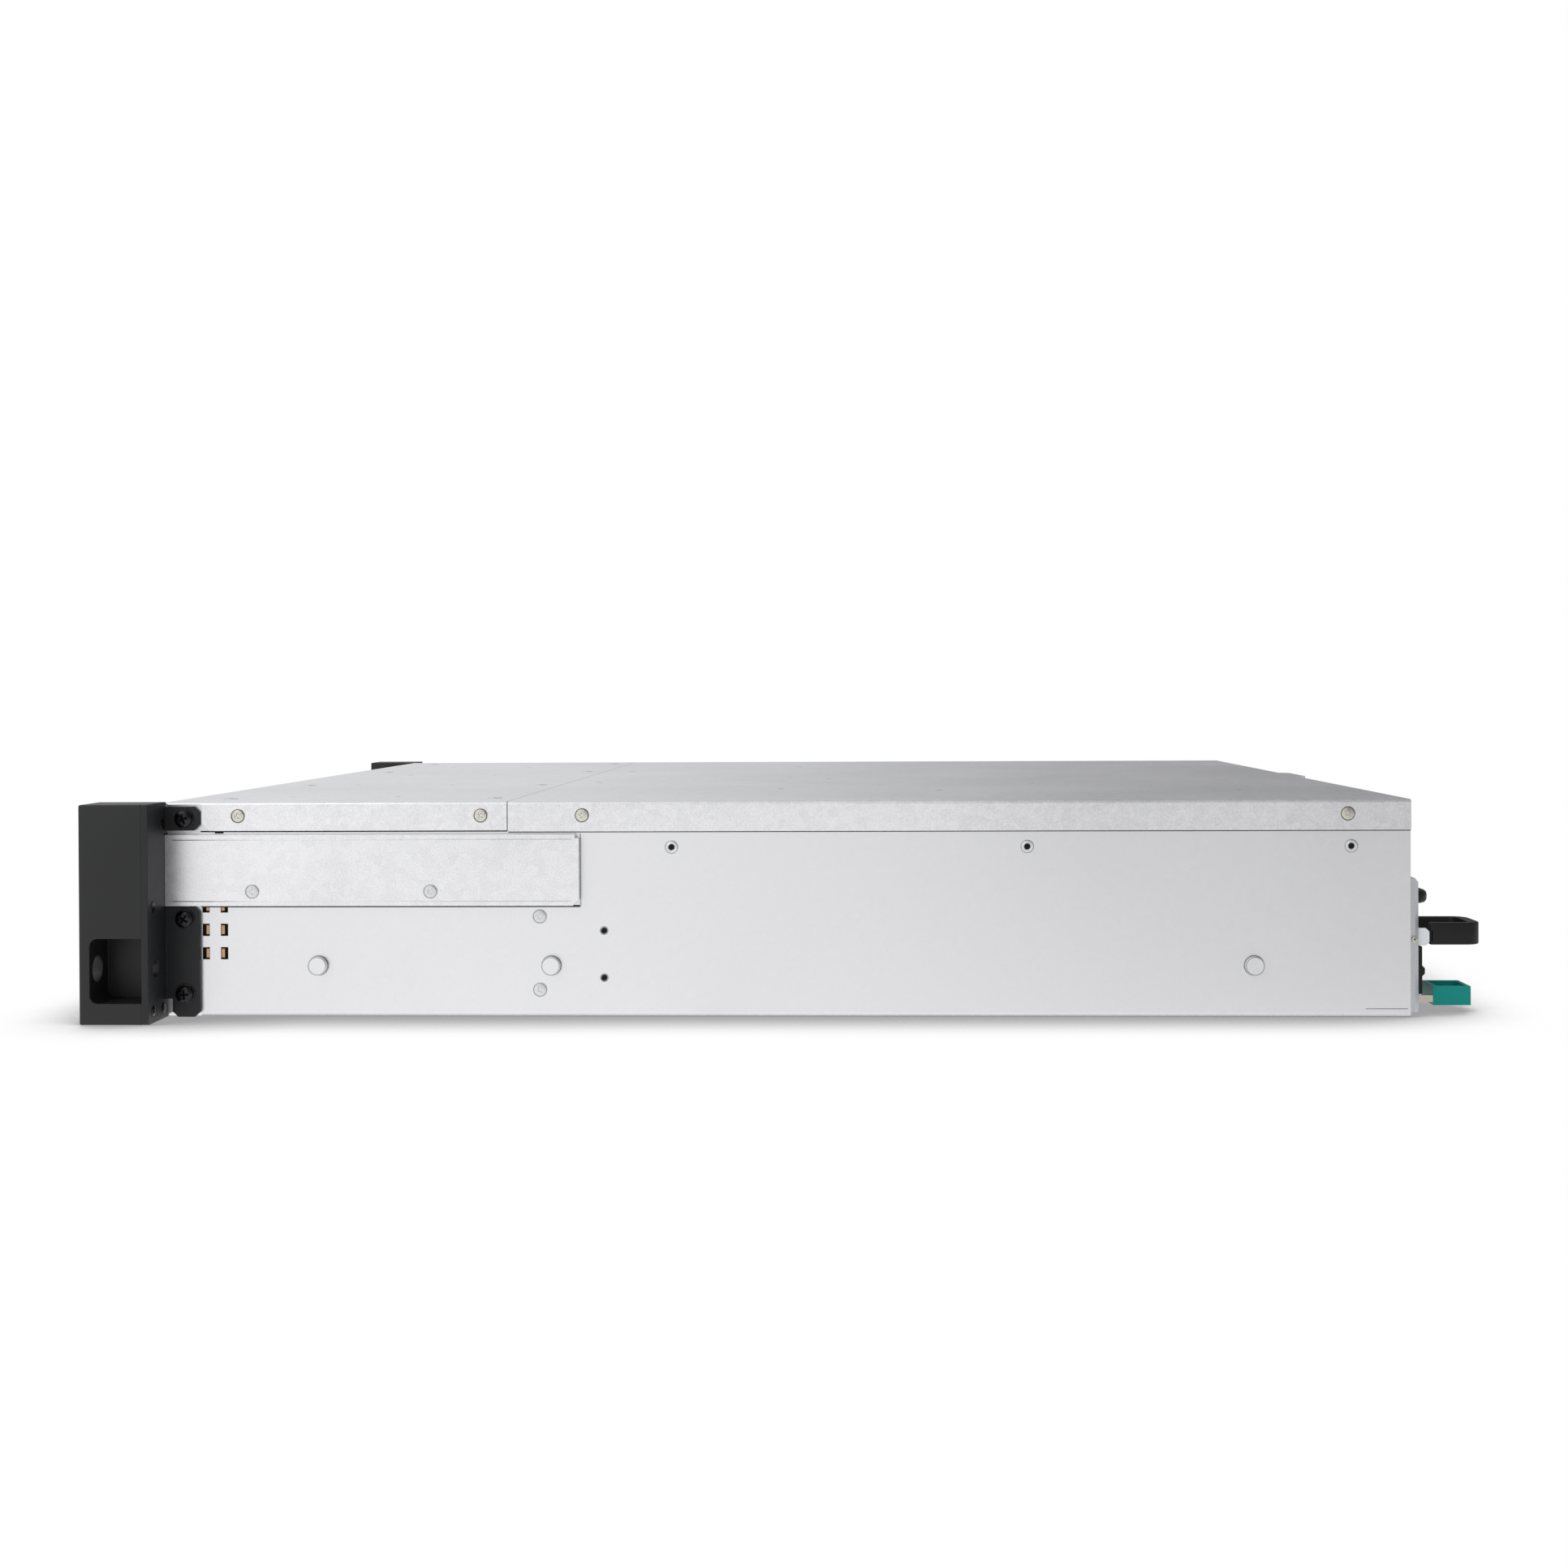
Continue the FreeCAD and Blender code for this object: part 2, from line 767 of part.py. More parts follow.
def drive_cage():
    """Floor and roof with five walls between them; the ledges carry the trays of the upper two rows."""
    decks = body_named("cage_decks")
    levels = ((CAGE_LOW, FIRST_ROW), (CAGE_ROOF, CAGE_TOP))
    plates = [box(f"-{CAGE_HALF}", CAGE_HALF, low, high) for low, high in levels]
    add(decks, "XZ", plates, "0", "cage_length")
    vents = [
        box(
            f"({column} - {(COLUMNS - 1) / 2}) * column_pitch - cage_floor_window / 2",
            f"({column} - {(COLUMNS - 1) / 2}) * column_pitch + cage_floor_window / 2",
            "cage_window_start",
            "cage_window_start + cage_window_length",
        )
        for column in range(COLUMNS)
    ]
    cut(decks, "XY", vents, f"{CAGE_LOW} - overcut", f"{CAGE_TOP} + overcut")
    walls = body_named("cage_walls")
    add(walls, "XZ", [cage_wall(number) for number in range(COLUMNS + 1)], "0", "cage_length")
    windows = [
        box(
            "cage_window_start",
            "cage_window_start + cage_window_length",
            f"{FIRST_ROW} + {row} * row_pitch + cage_window_low",
            f"{FIRST_ROW} + {row} * row_pitch + cage_window_low + cage_window_height",
        )
        for row in range(ROWS)
    ]
    cut(walls, "YZ", windows, f"-{CAGE_HALF} - overcut", f"{CAGE_HALF} + overcut")
    piece_of("drive_cage", [decks, walls])


def at_bay(body, column, row):
    place(
        body,
        f"({column} - {(COLUMNS - 1) / 2}) * column_pitch",
        "0",
        f"{FIRST_ROW} + {row} * row_pitch",
    )


BEZEL_HALF = "(column_pitch / 2 - bezel_gap)"
BEZEL_LOW = "(bezel_gap / 2)"
BEZEL_HIGH = "(row_pitch - bezel_gap / 2)"
DOOR_LEFT = f"(-{BEZEL_HALF} + bezel_left)"
DOOR_RIGHT = f"({BEZEL_HALF} - bezel_right)"
DOOR_LOW = f"({BEZEL_LOW} + bezel_flange)"
DOOR_HIGH = f"({BEZEL_HIGH} - bezel_flange)"
RAIL_OUTSIDE = f"({BAY_HALF} - runner_gap)"
RAIL_INSIDE = "(disk_width / 2 + disk_gap)"
LEVER_MIDDLE = "(lever_depth / 2 - bezel_front)"
LEVER_AXIS = f"({DOOR_LEFT} + lever_side_gap + lever_depth / 2)"
LEVER_END = f"({DOOR_LEFT} + lever_side_gap)"


def carrier_tray(column, row):
    """Bezel with the lever's pin, two rails and two straps; the disk lies on the straps."""
    body = piece(f"carrier_{column + 1}{row + 1}_tray")
    at_bay(body, column, row)
    frame = box(f"-{BEZEL_HALF}", BEZEL_HALF, BEZEL_LOW, BEZEL_HIGH)
    add(body, "XZ", [frame], "-bezel_front", "-bezel_seat")
    door = box(DOOR_LEFT, DOOR_RIGHT, DOOR_LOW, DOOR_HIGH)
    cut(body, "XZ", [door], "-bezel_front - overcut", "-bezel_seat - bezel_back")
    window = box(
        "lever_slot_start",
        "lever_slot_start + lever_slot_width",
        "(row_pitch - bezel_window_height) / 2",
        "(row_pitch + bezel_window_height) / 2",
    )
    cut(body, "XZ", [window], "-bezel_seat - bezel_back - overcut", "-bezel_seat + overcut")
    rails = [
        box(f"-{RAIL_OUTSIDE}", f"-{RAIL_INSIDE}", "runner_gap", "runner_gap + rail_height"),
        box(RAIL_INSIDE, RAIL_OUTSIDE, "runner_gap", "runner_gap + rail_height"),
    ]
    add(body, "XZ", rails, "-bezel_seat", "rail_end")
    straps = [
        box(f"-{RAIL_OUTSIDE}", RAIL_OUTSIDE, start, f"{start} + strap_width")
        for start in ("strap_front", "strap_rear")
    ]
    add(body, "XY", straps, "runner_gap", "runner_gap + strap_gauge")
    pin = polygon(LEVER_AXIS, LEVER_MIDDLE, "lever_pin_radius", PIN_SIDES)
    add(body, "XY", [pin], f"{DOOR_LOW} - bite", f"{DOOR_HIGH} + bite")


def carrier_lever(column, row):
    """The front flap of a carrier, hinged on a pin at its blunt left end, with air slots and a catch."""
    body = piece(f"carrier_{column + 1}{row + 1}_lever")
    at_bay(body, column, row)
    low, high = f"{DOOR_LOW} + lever_gap", f"{DOOR_HIGH} - lever_gap"
    front, back = "-bezel_front", "-bezel_front + lever_depth"
    end = f"{DOOR_RIGHT} - lever_side_gap"
    plate = [
        (f"{LEVER_END} + lever_knuckle", front),
        (f"{end} - lever_bevel", front),
        (end, f"{front} + lever_bevel"),
        (end, back),
        (f"{LEVER_END} + lever_knuckle", back),
        (LEVER_END, f"{back} - lever_knuckle"),
        (LEVER_END, f"{front} + lever_knuckle"),
    ]
    add(body, "XY", [plate], low, high)
    bore = socket(LEVER_AXIS, LEVER_MIDDLE, "lever_pin_radius + lever_pin_gap", PIN_SIDES)
    cut(body, "XY", [bore], f"{low} - overcut", f"{high} + overcut")
    slots = [
        box(
            "lever_slot_start",
            "lever_slot_start + lever_slot_width",
            f"row_pitch / 2 + {level} * lever_slot_pitch - lever_slot_height / 2",
            f"row_pitch / 2 + {level} * lever_slot_pitch + lever_slot_height / 2",
        )
        for level in (-1, 0, 1)
    ]
    cut(body, "XZ", slots, f"{front} - overcut", f"{back} + overcut")
    catch = box(
        f"{end} - lever_bevel - lever_catch_width",
        f"{end} - lever_bevel",
        "(row_pitch - lever_catch_height) / 2",
        "(row_pitch + lever_catch_height) / 2",
    )
    cut(body, "XZ", [catch], f"{front} - overcut", f"{front} + lever_catch_depth")


BOARD_FRONT = "cage_length"
BOARD_HALF = "(pan_width / 2 - board_side_gap)"


def bay_spot(column, row):
    return (
        f"({column} - {(COLUMNS - 1) / 2}) * column_pitch",
        f"({FIRST_ROW} + {row} * row_pitch)",
    )


def circuit_boards():
    """The backplane behind the carriers, and the rear board that the supplies and the module plug into."""
    body = piece("circuit_boards")
    add(
        body,
        "XZ",
        [box(f"-{BOARD_HALF}", BOARD_HALF, "board_low", "board_top")],
        BOARD_FRONT,
        f"{BOARD_FRONT} + board_gauge",
    )
    vents = []
    for column in range(COLUMNS):
        for row in range(ROWS):
            across, up = bay_spot(column, row)
            low = f"{up} + connector_rise + connector_height + board_vent_rise"
            vents.append(centred(across, "board_vent_width", low, "board_vent_height"))
    cut(body, "XZ", vents, f"{BOARD_FRONT} - overcut", f"{BOARD_FRONT} + board_gauge + overcut")
    rear = box(f"-{BOARD_HALF}", BOARD_HALF, "pan_gauge", "rear_board_height")
    add(body, "XZ", [rear], "rear_board_place", "rear_board_place + board_gauge")


SUPPLY_SPOTS = ("psu_place", "-psu_place")
IO_MIDDLE = "(io_left + io_width / 2)"


def board_connectors():
    """Twelve disk connectors on the backplane, and the sockets on the rear board."""
    body = piece("board_connectors")
    blocks, keys = [], []
    for column in range(COLUMNS):
        for row in range(ROWS):
            across, up = bay_spot(column, row)
            low = f"{up} + connector_rise"
            blocks.append(centred(across, "connector_width", low, "connector_height"))
            keys.append(
                centred(
                    across,
                    "connector_width - 2 * connector_key",
                    f"{low} + connector_key",
                    "connector_height - 2 * connector_key",
                )
            )
    add(body, "XZ", blocks, f"{BOARD_FRONT} - connector_depth", BOARD_FRONT)
    cut(
        body,
        "XZ",
        keys,
        f"{BOARD_FRONT} - connector_depth - overcut",
        f"{BOARD_FRONT} - connector_key",
    )
    rear = "(rear_board_place + board_gauge)"
    middle = "tongue_height - (socket_height - tongue_gauge) / 2"
    sockets = [
        centred(spot, "socket_width", middle, "socket_height")
        for spot in (*SUPPLY_SPOTS, IO_MIDDLE)
    ]
    mouths = [
        centred(
            spot,
            "tongue_width + 2 * tongue_gap",
            "tongue_height - tongue_gap",
            "tongue_gauge + 2 * tongue_gap",
        )
        for spot in (*SUPPLY_SPOTS, IO_MIDDLE)
    ]
    add(body, "XZ", sockets, rear, f"{rear} + socket_depth")
    cut(body, "XZ", mouths, f"{rear} + socket_floor", f"{rear} + socket_depth + overcut")


def fan_spots():
    return [f"({number} - {(FANS - 1) / 2}) * fan_pitch" for number in range(FANS)]


def fan_wall():
    """A bulkhead across the chassis with an opening per fan, folded back at top and bottom."""
    body = piece("fan_wall")
    sheet_outline = box(f"-{BOARD_HALF}", BOARD_HALF, "pan_gauge", CAGE_TOP)
    add(body, "XZ", [sheet_outline], "fan_wall_place", FAN_FRONT)
    openings = [
        chamfered(spot, FAN_MIDDLE, "2 * fan_bore", "2 * fan_bore", "fan_wall_corner")
        for spot in fan_spots()
    ]
    cut(body, "XZ", openings, "fan_wall_place - overcut", f"{FAN_FRONT} + overcut")
    flanges = [
        box(f"-{BOARD_HALF}", BOARD_HALF, "pan_gauge", FAN_LOW),
        box(f"-{BOARD_HALF}", BOARD_HALF, f"{CAGE_TOP} - fan_wall_gauge", CAGE_TOP),
    ]
    add(body, "XZ", flanges, FAN_FRONT, f"{FAN_FRONT} + fan_depth")


def fan_frames():
    """Three square fan housings, each a bore with a motor mount on two struts at its rear."""
    body = piece("fan_frames")
    spots = fan_spots()
    rear = f"({FAN_FRONT} + fan_depth)"
    squares = [centred(spot, "fan_side", FAN_LOW, "fan_side") for spot in spots]
    add(body, "XZ", squares, FAN_FRONT, rear)
    bores = [Circle(spot, FAN_MIDDLE, "fan_bore") for spot in spots]
    cut(body, "XZ", bores, f"{FAN_FRONT} - overcut", f"{rear} + overcut")
    arms = [
        centred(spot, "2 * fan_bore + 2 * bite", f"{FAN_MIDDLE} - fan_strut / 2", "fan_strut")
        for spot in spots
    ]
    add(body, "XZ", arms, f"{rear} - fan_back", rear)
    hubs = [polygon(spot, FAN_MIDDLE, "fan_hub_radius", HUB_SIDES) for spot in spots]
    add(body, "XZ", hubs, f"{rear} - fan_back", rear)
    bearings = [
        socket(spot, FAN_MIDDLE, "fan_shaft_radius + fan_shaft_gap", PIN_SIDES)
        for spot in spots
    ]
    cut(body, "XZ", bearings, f"{rear} - fan_back - overcut", f"{rear} + overcut")


def fan_rotor(number):
    """Many-sided hub, shaft and slanted blades, each padded outwards from inside the hub."""
    body = piece(f"fan_rotor_{number + 1}")
    place(body, fan_spots()[number], f"{FAN_FRONT} + rotor_inset", FAN_MIDDLE)
    long = "(fan_depth - fan_back - rotor_inset - rotor_run_gap)"
    add(body, "XZ", [polygon("0", "0", "rotor_hub_radius", HUB_SIDES)], "0", long)
    shaft = polygon("0", "0", "fan_shaft_radius", PIN_SIDES)
    add(body, "XZ", [shaft], f"{long} - bite", f"{long} + rotor_run_gap + fan_back")
    reach, rise = "(blade_chord / 2 * cos(blade_turn))", "(blade_chord / 2 * sin(blade_turn))"
    thick = "(blade_gauge / 2 / cos(blade_turn))"
    section = [
        (f"-{reach}", f"{long} / 2 - {rise} - {thick}"),
        (reach, f"{long} / 2 + {rise} - {thick}"),
        (reach, f"{long} / 2 + {rise} + {thick}"),
        (f"-{reach}", f"{long} / 2 - {rise} + {thick}"),
    ]
    tip = "sqrt((fan_bore - rotor_tip_gap) ^ 2 - (blade_chord / 2 * cos(blade_turn)) ^ 2)"
    blade = add(body, "XY", [section], "blade_root", tip)
    doc.recompute()
    blades = body.newObject("PartDesign::PolarPattern", body.Name + "_blades")
    blades.Originals = [blade]
    blades.Axis = (origin_part(body, "Y_Axis"), [""])
    bind(blades, "Occurrences", "blade_count")
    blades.Angle = 360
    body.Tip = blades


def rear_panel():
    """The rear wall: cut-outs for the supplies and the module, a vented strip above and a vented blank."""
    body = piece("rear_panel")
    half = f"({PAN_INSIDE} - bay_gap)"
    lip, under_lip = f"({PAN_SIDE} - pan_lip - bay_gap)", "pan_height - pan_gauge"
    plate = [
        (f"-{half}", "pan_gauge"),
        (half, "pan_gauge"),
        (half, under_lip),
        (lip, under_lip),
        (lip, "pan_height"),
        (f"-{lip}", "pan_height"),
        (f"-{lip}", under_lip),
        (f"-{half}", under_lip),
    ]
    add(body, "XZ", [plate], REAR_INNER, "pan_length")
    bay_half = "(psu_width / 2 + bay_gap)"
    roof = "(psu_low + psu_height + bay_gap)"
    bays = [
        box(f"{spot} - {bay_half}", f"{spot} + {bay_half}", "pan_gauge - overcut", roof)
        for spot in SUPPLY_SPOTS
    ]
    module = box(
        "io_left + io_lap - bay_gap",
        "io_left + io_width - io_lap + bay_gap",
        "pan_gauge - overcut",
        "psu_low + psu_height - io_lap + bay_gap",
    )
    cut(body, "XZ", bays + [module], f"{REAR_INNER} - overcut", "pan_length + overcut")
    first = f"-{(REAR_VENTS - 1) // 2} * rear_vent_pitch"
    vent_row(body, "rear_vent_low", "rear_vent_height", first, REAR_VENTS)
    for row in range(BLANK_VENT_ROWS):
        low = f"blank_vent_low + {row} * blank_vent_rise"
        vent_row(body, low, "blank_vent_height", f"-{BLANK_VENTS} * rear_vent_pitch", BLANK_VENTS)
    doc.recompute()
    flanges = [
        box(f"-{half}", f"-{half} + rear_gauge", "pan_gauge", "pan_height - 2 * pan_gauge"),
        box(f"{half} - rear_gauge", half, "pan_gauge", "pan_height - 2 * pan_gauge"),
    ]
    add(body, "XZ", flanges, f"{REAR_INNER} - rear_flange", REAR_INNER)
    roofs = [
        box(f"{spot} - {bay_half}", f"{spot} + {bay_half}", roof, f"{roof} + bay_roof_gauge")
        for spot in SUPPLY_SPOTS
    ]
    add(body, "XZ", roofs, f"{REAR_INNER} - bay_roof_length", REAR_INNER)


def vent_row(body, low, height, start, count):
    slot = box(
        f"{start} - rear_vent_width / 2",
        f"{start} + rear_vent_width / 2",
        low,
        f"{low} + {height}",
    )
    vent = cut(body, "XZ", [slot], f"{REAR_INNER} - overcut", "pan_length + overcut")
    pattern(body, vent, "X", count, "rear_vent_pitch")


def signed(side, text):
    return f"({text})" if side > 0 else f"(-({text}))"


def span(side, near_end, far_end):
    """Low and high levels between two distances from the centre plane, on one side of it."""
    ends = [signed(side, near_end), signed(side, far_end)]
    return ends if side > 0 else ends[::-1]


def ear_bracket():
    """The rack flange with its side leg and upper tab, open at the cable cover's mouth."""
    body = piece("ear_bracket_right")
    flange = [
        (PAN_SIDE, "0"),
        ("panel_width / 2", "0", "ear_edge"),
        ("panel_width / 2", "ear_height", "ear_edge"),
        (f"{COVER_SIDE} + leg_gap", "ear_height"),
        (f"{COVER_SIDE} + leg_gap", "upper_tab_high"),
        (PAN_SIDE, "upper_tab_high"),
        (PAN_SIDE, "channel_high + leg_gap"),
        (f"{CHANNEL_SIDE} + leg_gap", "channel_high + leg_gap"),
        (f"{CHANNEL_SIDE} + leg_gap", "leg_top"),
        (PAN_SIDE, "leg_top"),
    ]
    add(body, "XZ", [flange], "-ear_plate", "0")
    hole = Circle("rack_hole_spacing / 2", "rack_hole_height", "rack_hole_radius")
    cut(body, "XZ", [hole], "-ear_plate - overcut", "overcut")
    leg = [
        ("-bite", "leg_notch_height"),
        ("leg_notch_length", "leg_notch_height"),
        ("leg_notch_length", "leg_corner"),
        ("leg_notch_length + leg_corner", "0"),
        ("leg_length - leg_corner", "0"),
        ("leg_length", "leg_corner"),
        ("leg_length", "leg_top - leg_corner"),
        ("leg_length - leg_corner", "leg_top"),
        ("-bite", "leg_top"),
    ]
    tab = [
        ("-bite", "upper_tab_low"),
        ("leg_length - leg_corner", "upper_tab_low"),
        ("leg_length", "upper_tab_low + leg_corner"),
        ("leg_length", "upper_tab_high - leg_corner"),
        ("leg_length - leg_corner", "upper_tab_high"),
        ("-bite", "upper_tab_high"),
    ]
    add(body, "YZ", [leg, tab], PAN_SIDE, LEG_SIDE)
    return body


def ear_handle(side, label):
    """The block in front of the flange: a finger recess open to the outside, and a hole for a screwdriver."""
    body = piece(label)
    near_end, far_end = EAR_INSIDE, "panel_width / 2"
    block = box(signed(side, near_end), signed(side, far_end), "0", "ear_height")
    pad = add(body, "XZ", [block], "-ear_depth", "-ear_plate")
    bevel_edges(
        body,
        pad,
        "ear_edge",
        lambda start, end: near(start.y, end.y) and near(start.y, value("-ear_depth")),
    )
    doc.recompute()
    recess = [
        ("-ear_plate + overcut", "recess_low"),
        ("-ear_plate + overcut", "recess_high"),
        ("-ear_depth + recess_wall + recess_corner", "recess_high"),
        ("-ear_depth + recess_wall", "recess_high - recess_corner"),
        ("-ear_depth + recess_wall", "recess_low + recess_corner"),
        ("-ear_depth + recess_wall + recess_corner", "recess_low"),
    ]
    cut(body, "YZ", [recess], *span(side, "panel_width / 2 - recess_depth", "panel_width / 2 + overcut"))
    hole = Circle(signed(side, "rack_hole_spacing / 2"), "rack_hole_height", "access_radius")
    cut(body, "XZ", [hole], "-ear_depth - overcut", "-ear_depth + recess_wall + overcut")
    return body


CONTROL_PLACE = "(panel_width / 2 - control_offset)"


def lens_spots():
    return [f"lens_low + {number} * lens_pitch" for number in range(4)]


def controls_in_handle(body):
    """The button's bore and four pockets for the indicator lenses."""
    button = Circle(CONTROL_PLACE, "button_height", "button_radius + button_gap")
    depth = "-ear_depth - button_proud + button_length + button_travel + button_gap"
    cut(body, "XZ", [button], "-ear_depth - overcut", depth)
    lenses = [centred(CONTROL_PLACE, "lens_width", spot, "lens_height") for spot in lens_spots()]
    cut(body, "XZ", lenses, "-ear_depth - overcut", "-ear_depth + lens_depth")


def power_button():
    body = piece("power_button")
    front = "(-ear_depth - button_proud)"
    cap = Circle(CONTROL_PLACE, "button_height", "button_radius")
    add(body, "XZ", [cap], front, f"{front} + button_length")


def indicator_lenses():
    body = piece("indicator_lenses")
    lenses = [centred(CONTROL_PLACE, "lens_width", spot, "lens_height") for spot in lens_spots()]
    add(body, "XZ", lenses, "-ear_depth - lens_proud", "-ear_depth + lens_depth")


def cable_cover():
    """A shallow channel on the side: a flat web with folded flanges above, below and behind."""
    body = piece("cable_cover_right")
    outline = [
        ("0", "channel_low"),
        ("channel_length - channel_corner", "channel_low"),
        ("channel_length", "channel_low + channel_corner"),
        ("channel_length", "channel_high - channel_relief"),
        ("channel_length - channel_relief", "channel_high - channel_relief"),
        ("channel_length - channel_relief", "channel_high"),
        ("0", "channel_high"),
    ]
    add(body, "YZ", [outline], PAN_SIDE, CHANNEL_SIDE)
    inside = [
        ("-overcut", "channel_low + channel_gauge"),
        ("channel_length - channel_corner - channel_gauge", "channel_low + channel_gauge"),
        ("channel_length - channel_gauge", "channel_low + channel_corner + channel_gauge"),
        ("channel_length - channel_gauge", "channel_high - channel_relief - channel_gauge"),
        (
            "channel_length - channel_relief - channel_gauge",
            "channel_high - channel_relief - channel_gauge",
        ),
        ("channel_length - channel_relief - channel_gauge", "channel_high - channel_gauge"),
        ("-overcut", "channel_high - channel_gauge"),
    ]
    cut(body, "YZ", [inside], f"{PAN_SIDE} - overcut", f"{CHANNEL_SIDE} - channel_gauge")
    return body


def both_sides(body, figures, low, high):
    """The same solids on the right and on the left side."""
    add(body, "YZ", figures, low, high)
    add(body, "YZ", figures, f"-({high})", f"-({low})")


def rail_studs():
    body = piece("rail_studs")
    studs = [Circle(along, "stud_height", "stud_radius") for along in ("stud_front", "stud_mid", "stud_rear")]
    both_sides(body, studs, PAN_SIDE, f"{PAN_SIDE} + stud_reach")


def press_nuts():
    """Closed six-sided nuts pressed against the inside of the pan, behind its tapped holes."""
    body = piece("press_nuts")
    both_sides(body, [polygon(*spot, "nut_radius", NUT_SIDES) for spot in NUT_SPOTS], NUT_INSIDE, PAN_INSIDE)


def emi_fingers():
    """Spring strips behind the web between the two columns of slots; their bent ends show in the slots."""
    body = piece("emi_fingers")
    heights = [f"slot_low + {row} * slot_rise" for row in range(3)]
    start = "slot_place"
    end = "slot_place + slot_pitch"
    inner = f"{PAN_INSIDE} - finger_gauge"
    strips = [
        box(start, end, f"{up} - finger_height / 2", f"{up} + finger_height / 2")
        for up in heights
    ]
    both_sides(body, strips, inner, PAN_INSIDE)
    ends = [
        box(low, high, f"{up} - finger_height / 2", f"{up} + finger_height / 2")
        for up in heights
        for low, high in (
            (start, f"{start} + finger_lap"),
            (f"{end} - finger_lap", end),
        )
    ]
    both_sides(body, ends, PAN_INSIDE, f"{PAN_INSIDE} + finger_gauge")


PSU_FACE = "psu_rear"
GRIP_LEFT = "(grip_offset - grip_width / 2)"
GRIP_RIGHT = "(grip_offset + grip_width / 2)"


def psu_case(label, spot):
    """Closed housing of a supply with its vents, its plug tongue and the two ears of the handle."""
    body = piece(label)
    place(body, spot)
    half = "(psu_width / 2)"
    top = "(psu_low + psu_height)"
    block = box(f"-{half}", half, "psu_low", top)
    pad = add(body, "XZ", [block], "psu_front", PSU_FACE)
    bevel_edges(
        body,
        pad,
        "psu_edge",
        lambda start, end: near(start.y, value(PSU_FACE)) and near(start.y, end.y)
        and not (near(start.z, value("psu_low")) and near(end.z, value("psu_low"))),
    )
    tongue = centred("0", "tongue_width", "tongue_height", "tongue_gauge")
    add(body, "XZ", [tongue], "psu_front - tongue_length", "psu_front + bite")
    first = f"-{(PSU_VENTS - 1) / 2} * psu_vent_pitch"
    slot = centred(first, "psu_vent_width", "psu_vent_low", "psu_vent_height")
    vent = cut(body, "XZ", [slot], f"{PSU_FACE} - psu_vent_depth", f"{PSU_FACE} + overcut")
    pattern(body, vent, "X", PSU_VENTS, "psu_vent_pitch")
    doc.recompute()
    hollow = centred(
        "inlet_offset",
        "inlet_width - 2 * inlet_step + 2 * inlet_body_gap",
        "inlet_low + inlet_step - inlet_body_gap",
        "inlet_height - 2 * inlet_step + 2 * inlet_body_gap",
    )
    depth = f"{PSU_FACE} - inlet_depth - inlet_wall"
    cut(body, "XZ", [hollow], depth, f"{PSU_FACE} + overcut")
    leaf = box(
        "leaf_offset - leaf_gauge / 2 - leaf_slot_gap - leaf_swing",
        "leaf_offset + leaf_gauge / 2 + leaf_slot_gap",
        "leaf_low - leaf_slot_gap",
        "leaf_low + leaf_height + leaf_slot_gap",
    )
    cut(body, "XZ", [leaf], "leaf_root - leaf_slot_gap", f"{PSU_FACE} + overcut")
    tip, tall = f"{PSU_FACE} + ear_tab_reach", "grip_low + ear_tab_height"
    tab = [
        (f"{PSU_FACE} - bite", "grip_low"),
        (f"{tip} - ear_tab_corner", "grip_low"),
        (tip, "grip_low + ear_tab_corner"),
        (tip, f"{tall} - ear_tab_corner"),
        (f"{tip} - ear_tab_corner", tall),
        (f"{PSU_FACE} - bite", tall),
    ]
    outer = "(ear_tab_gauge + ear_tab_gap)"
    add(body, "YZ", [tab], f"{GRIP_RIGHT} + ear_tab_gap", f"{GRIP_RIGHT} + {outer}")
    add(body, "YZ", [tab], f"{GRIP_LEFT} - {outer}", f"{GRIP_LEFT} - ear_tab_gap")
    pin = Circle("grip_pivot_place", "grip_pivot_height", "grip_pin_radius")
    add(body, "YZ", [pin], f"{GRIP_RIGHT} - grip_arm", f"{GRIP_RIGHT} + ear_tab_gap + bite")
    add(body, "YZ", [pin], f"{GRIP_LEFT} - ear_tab_gap - bite", f"{GRIP_LEFT} + grip_arm")


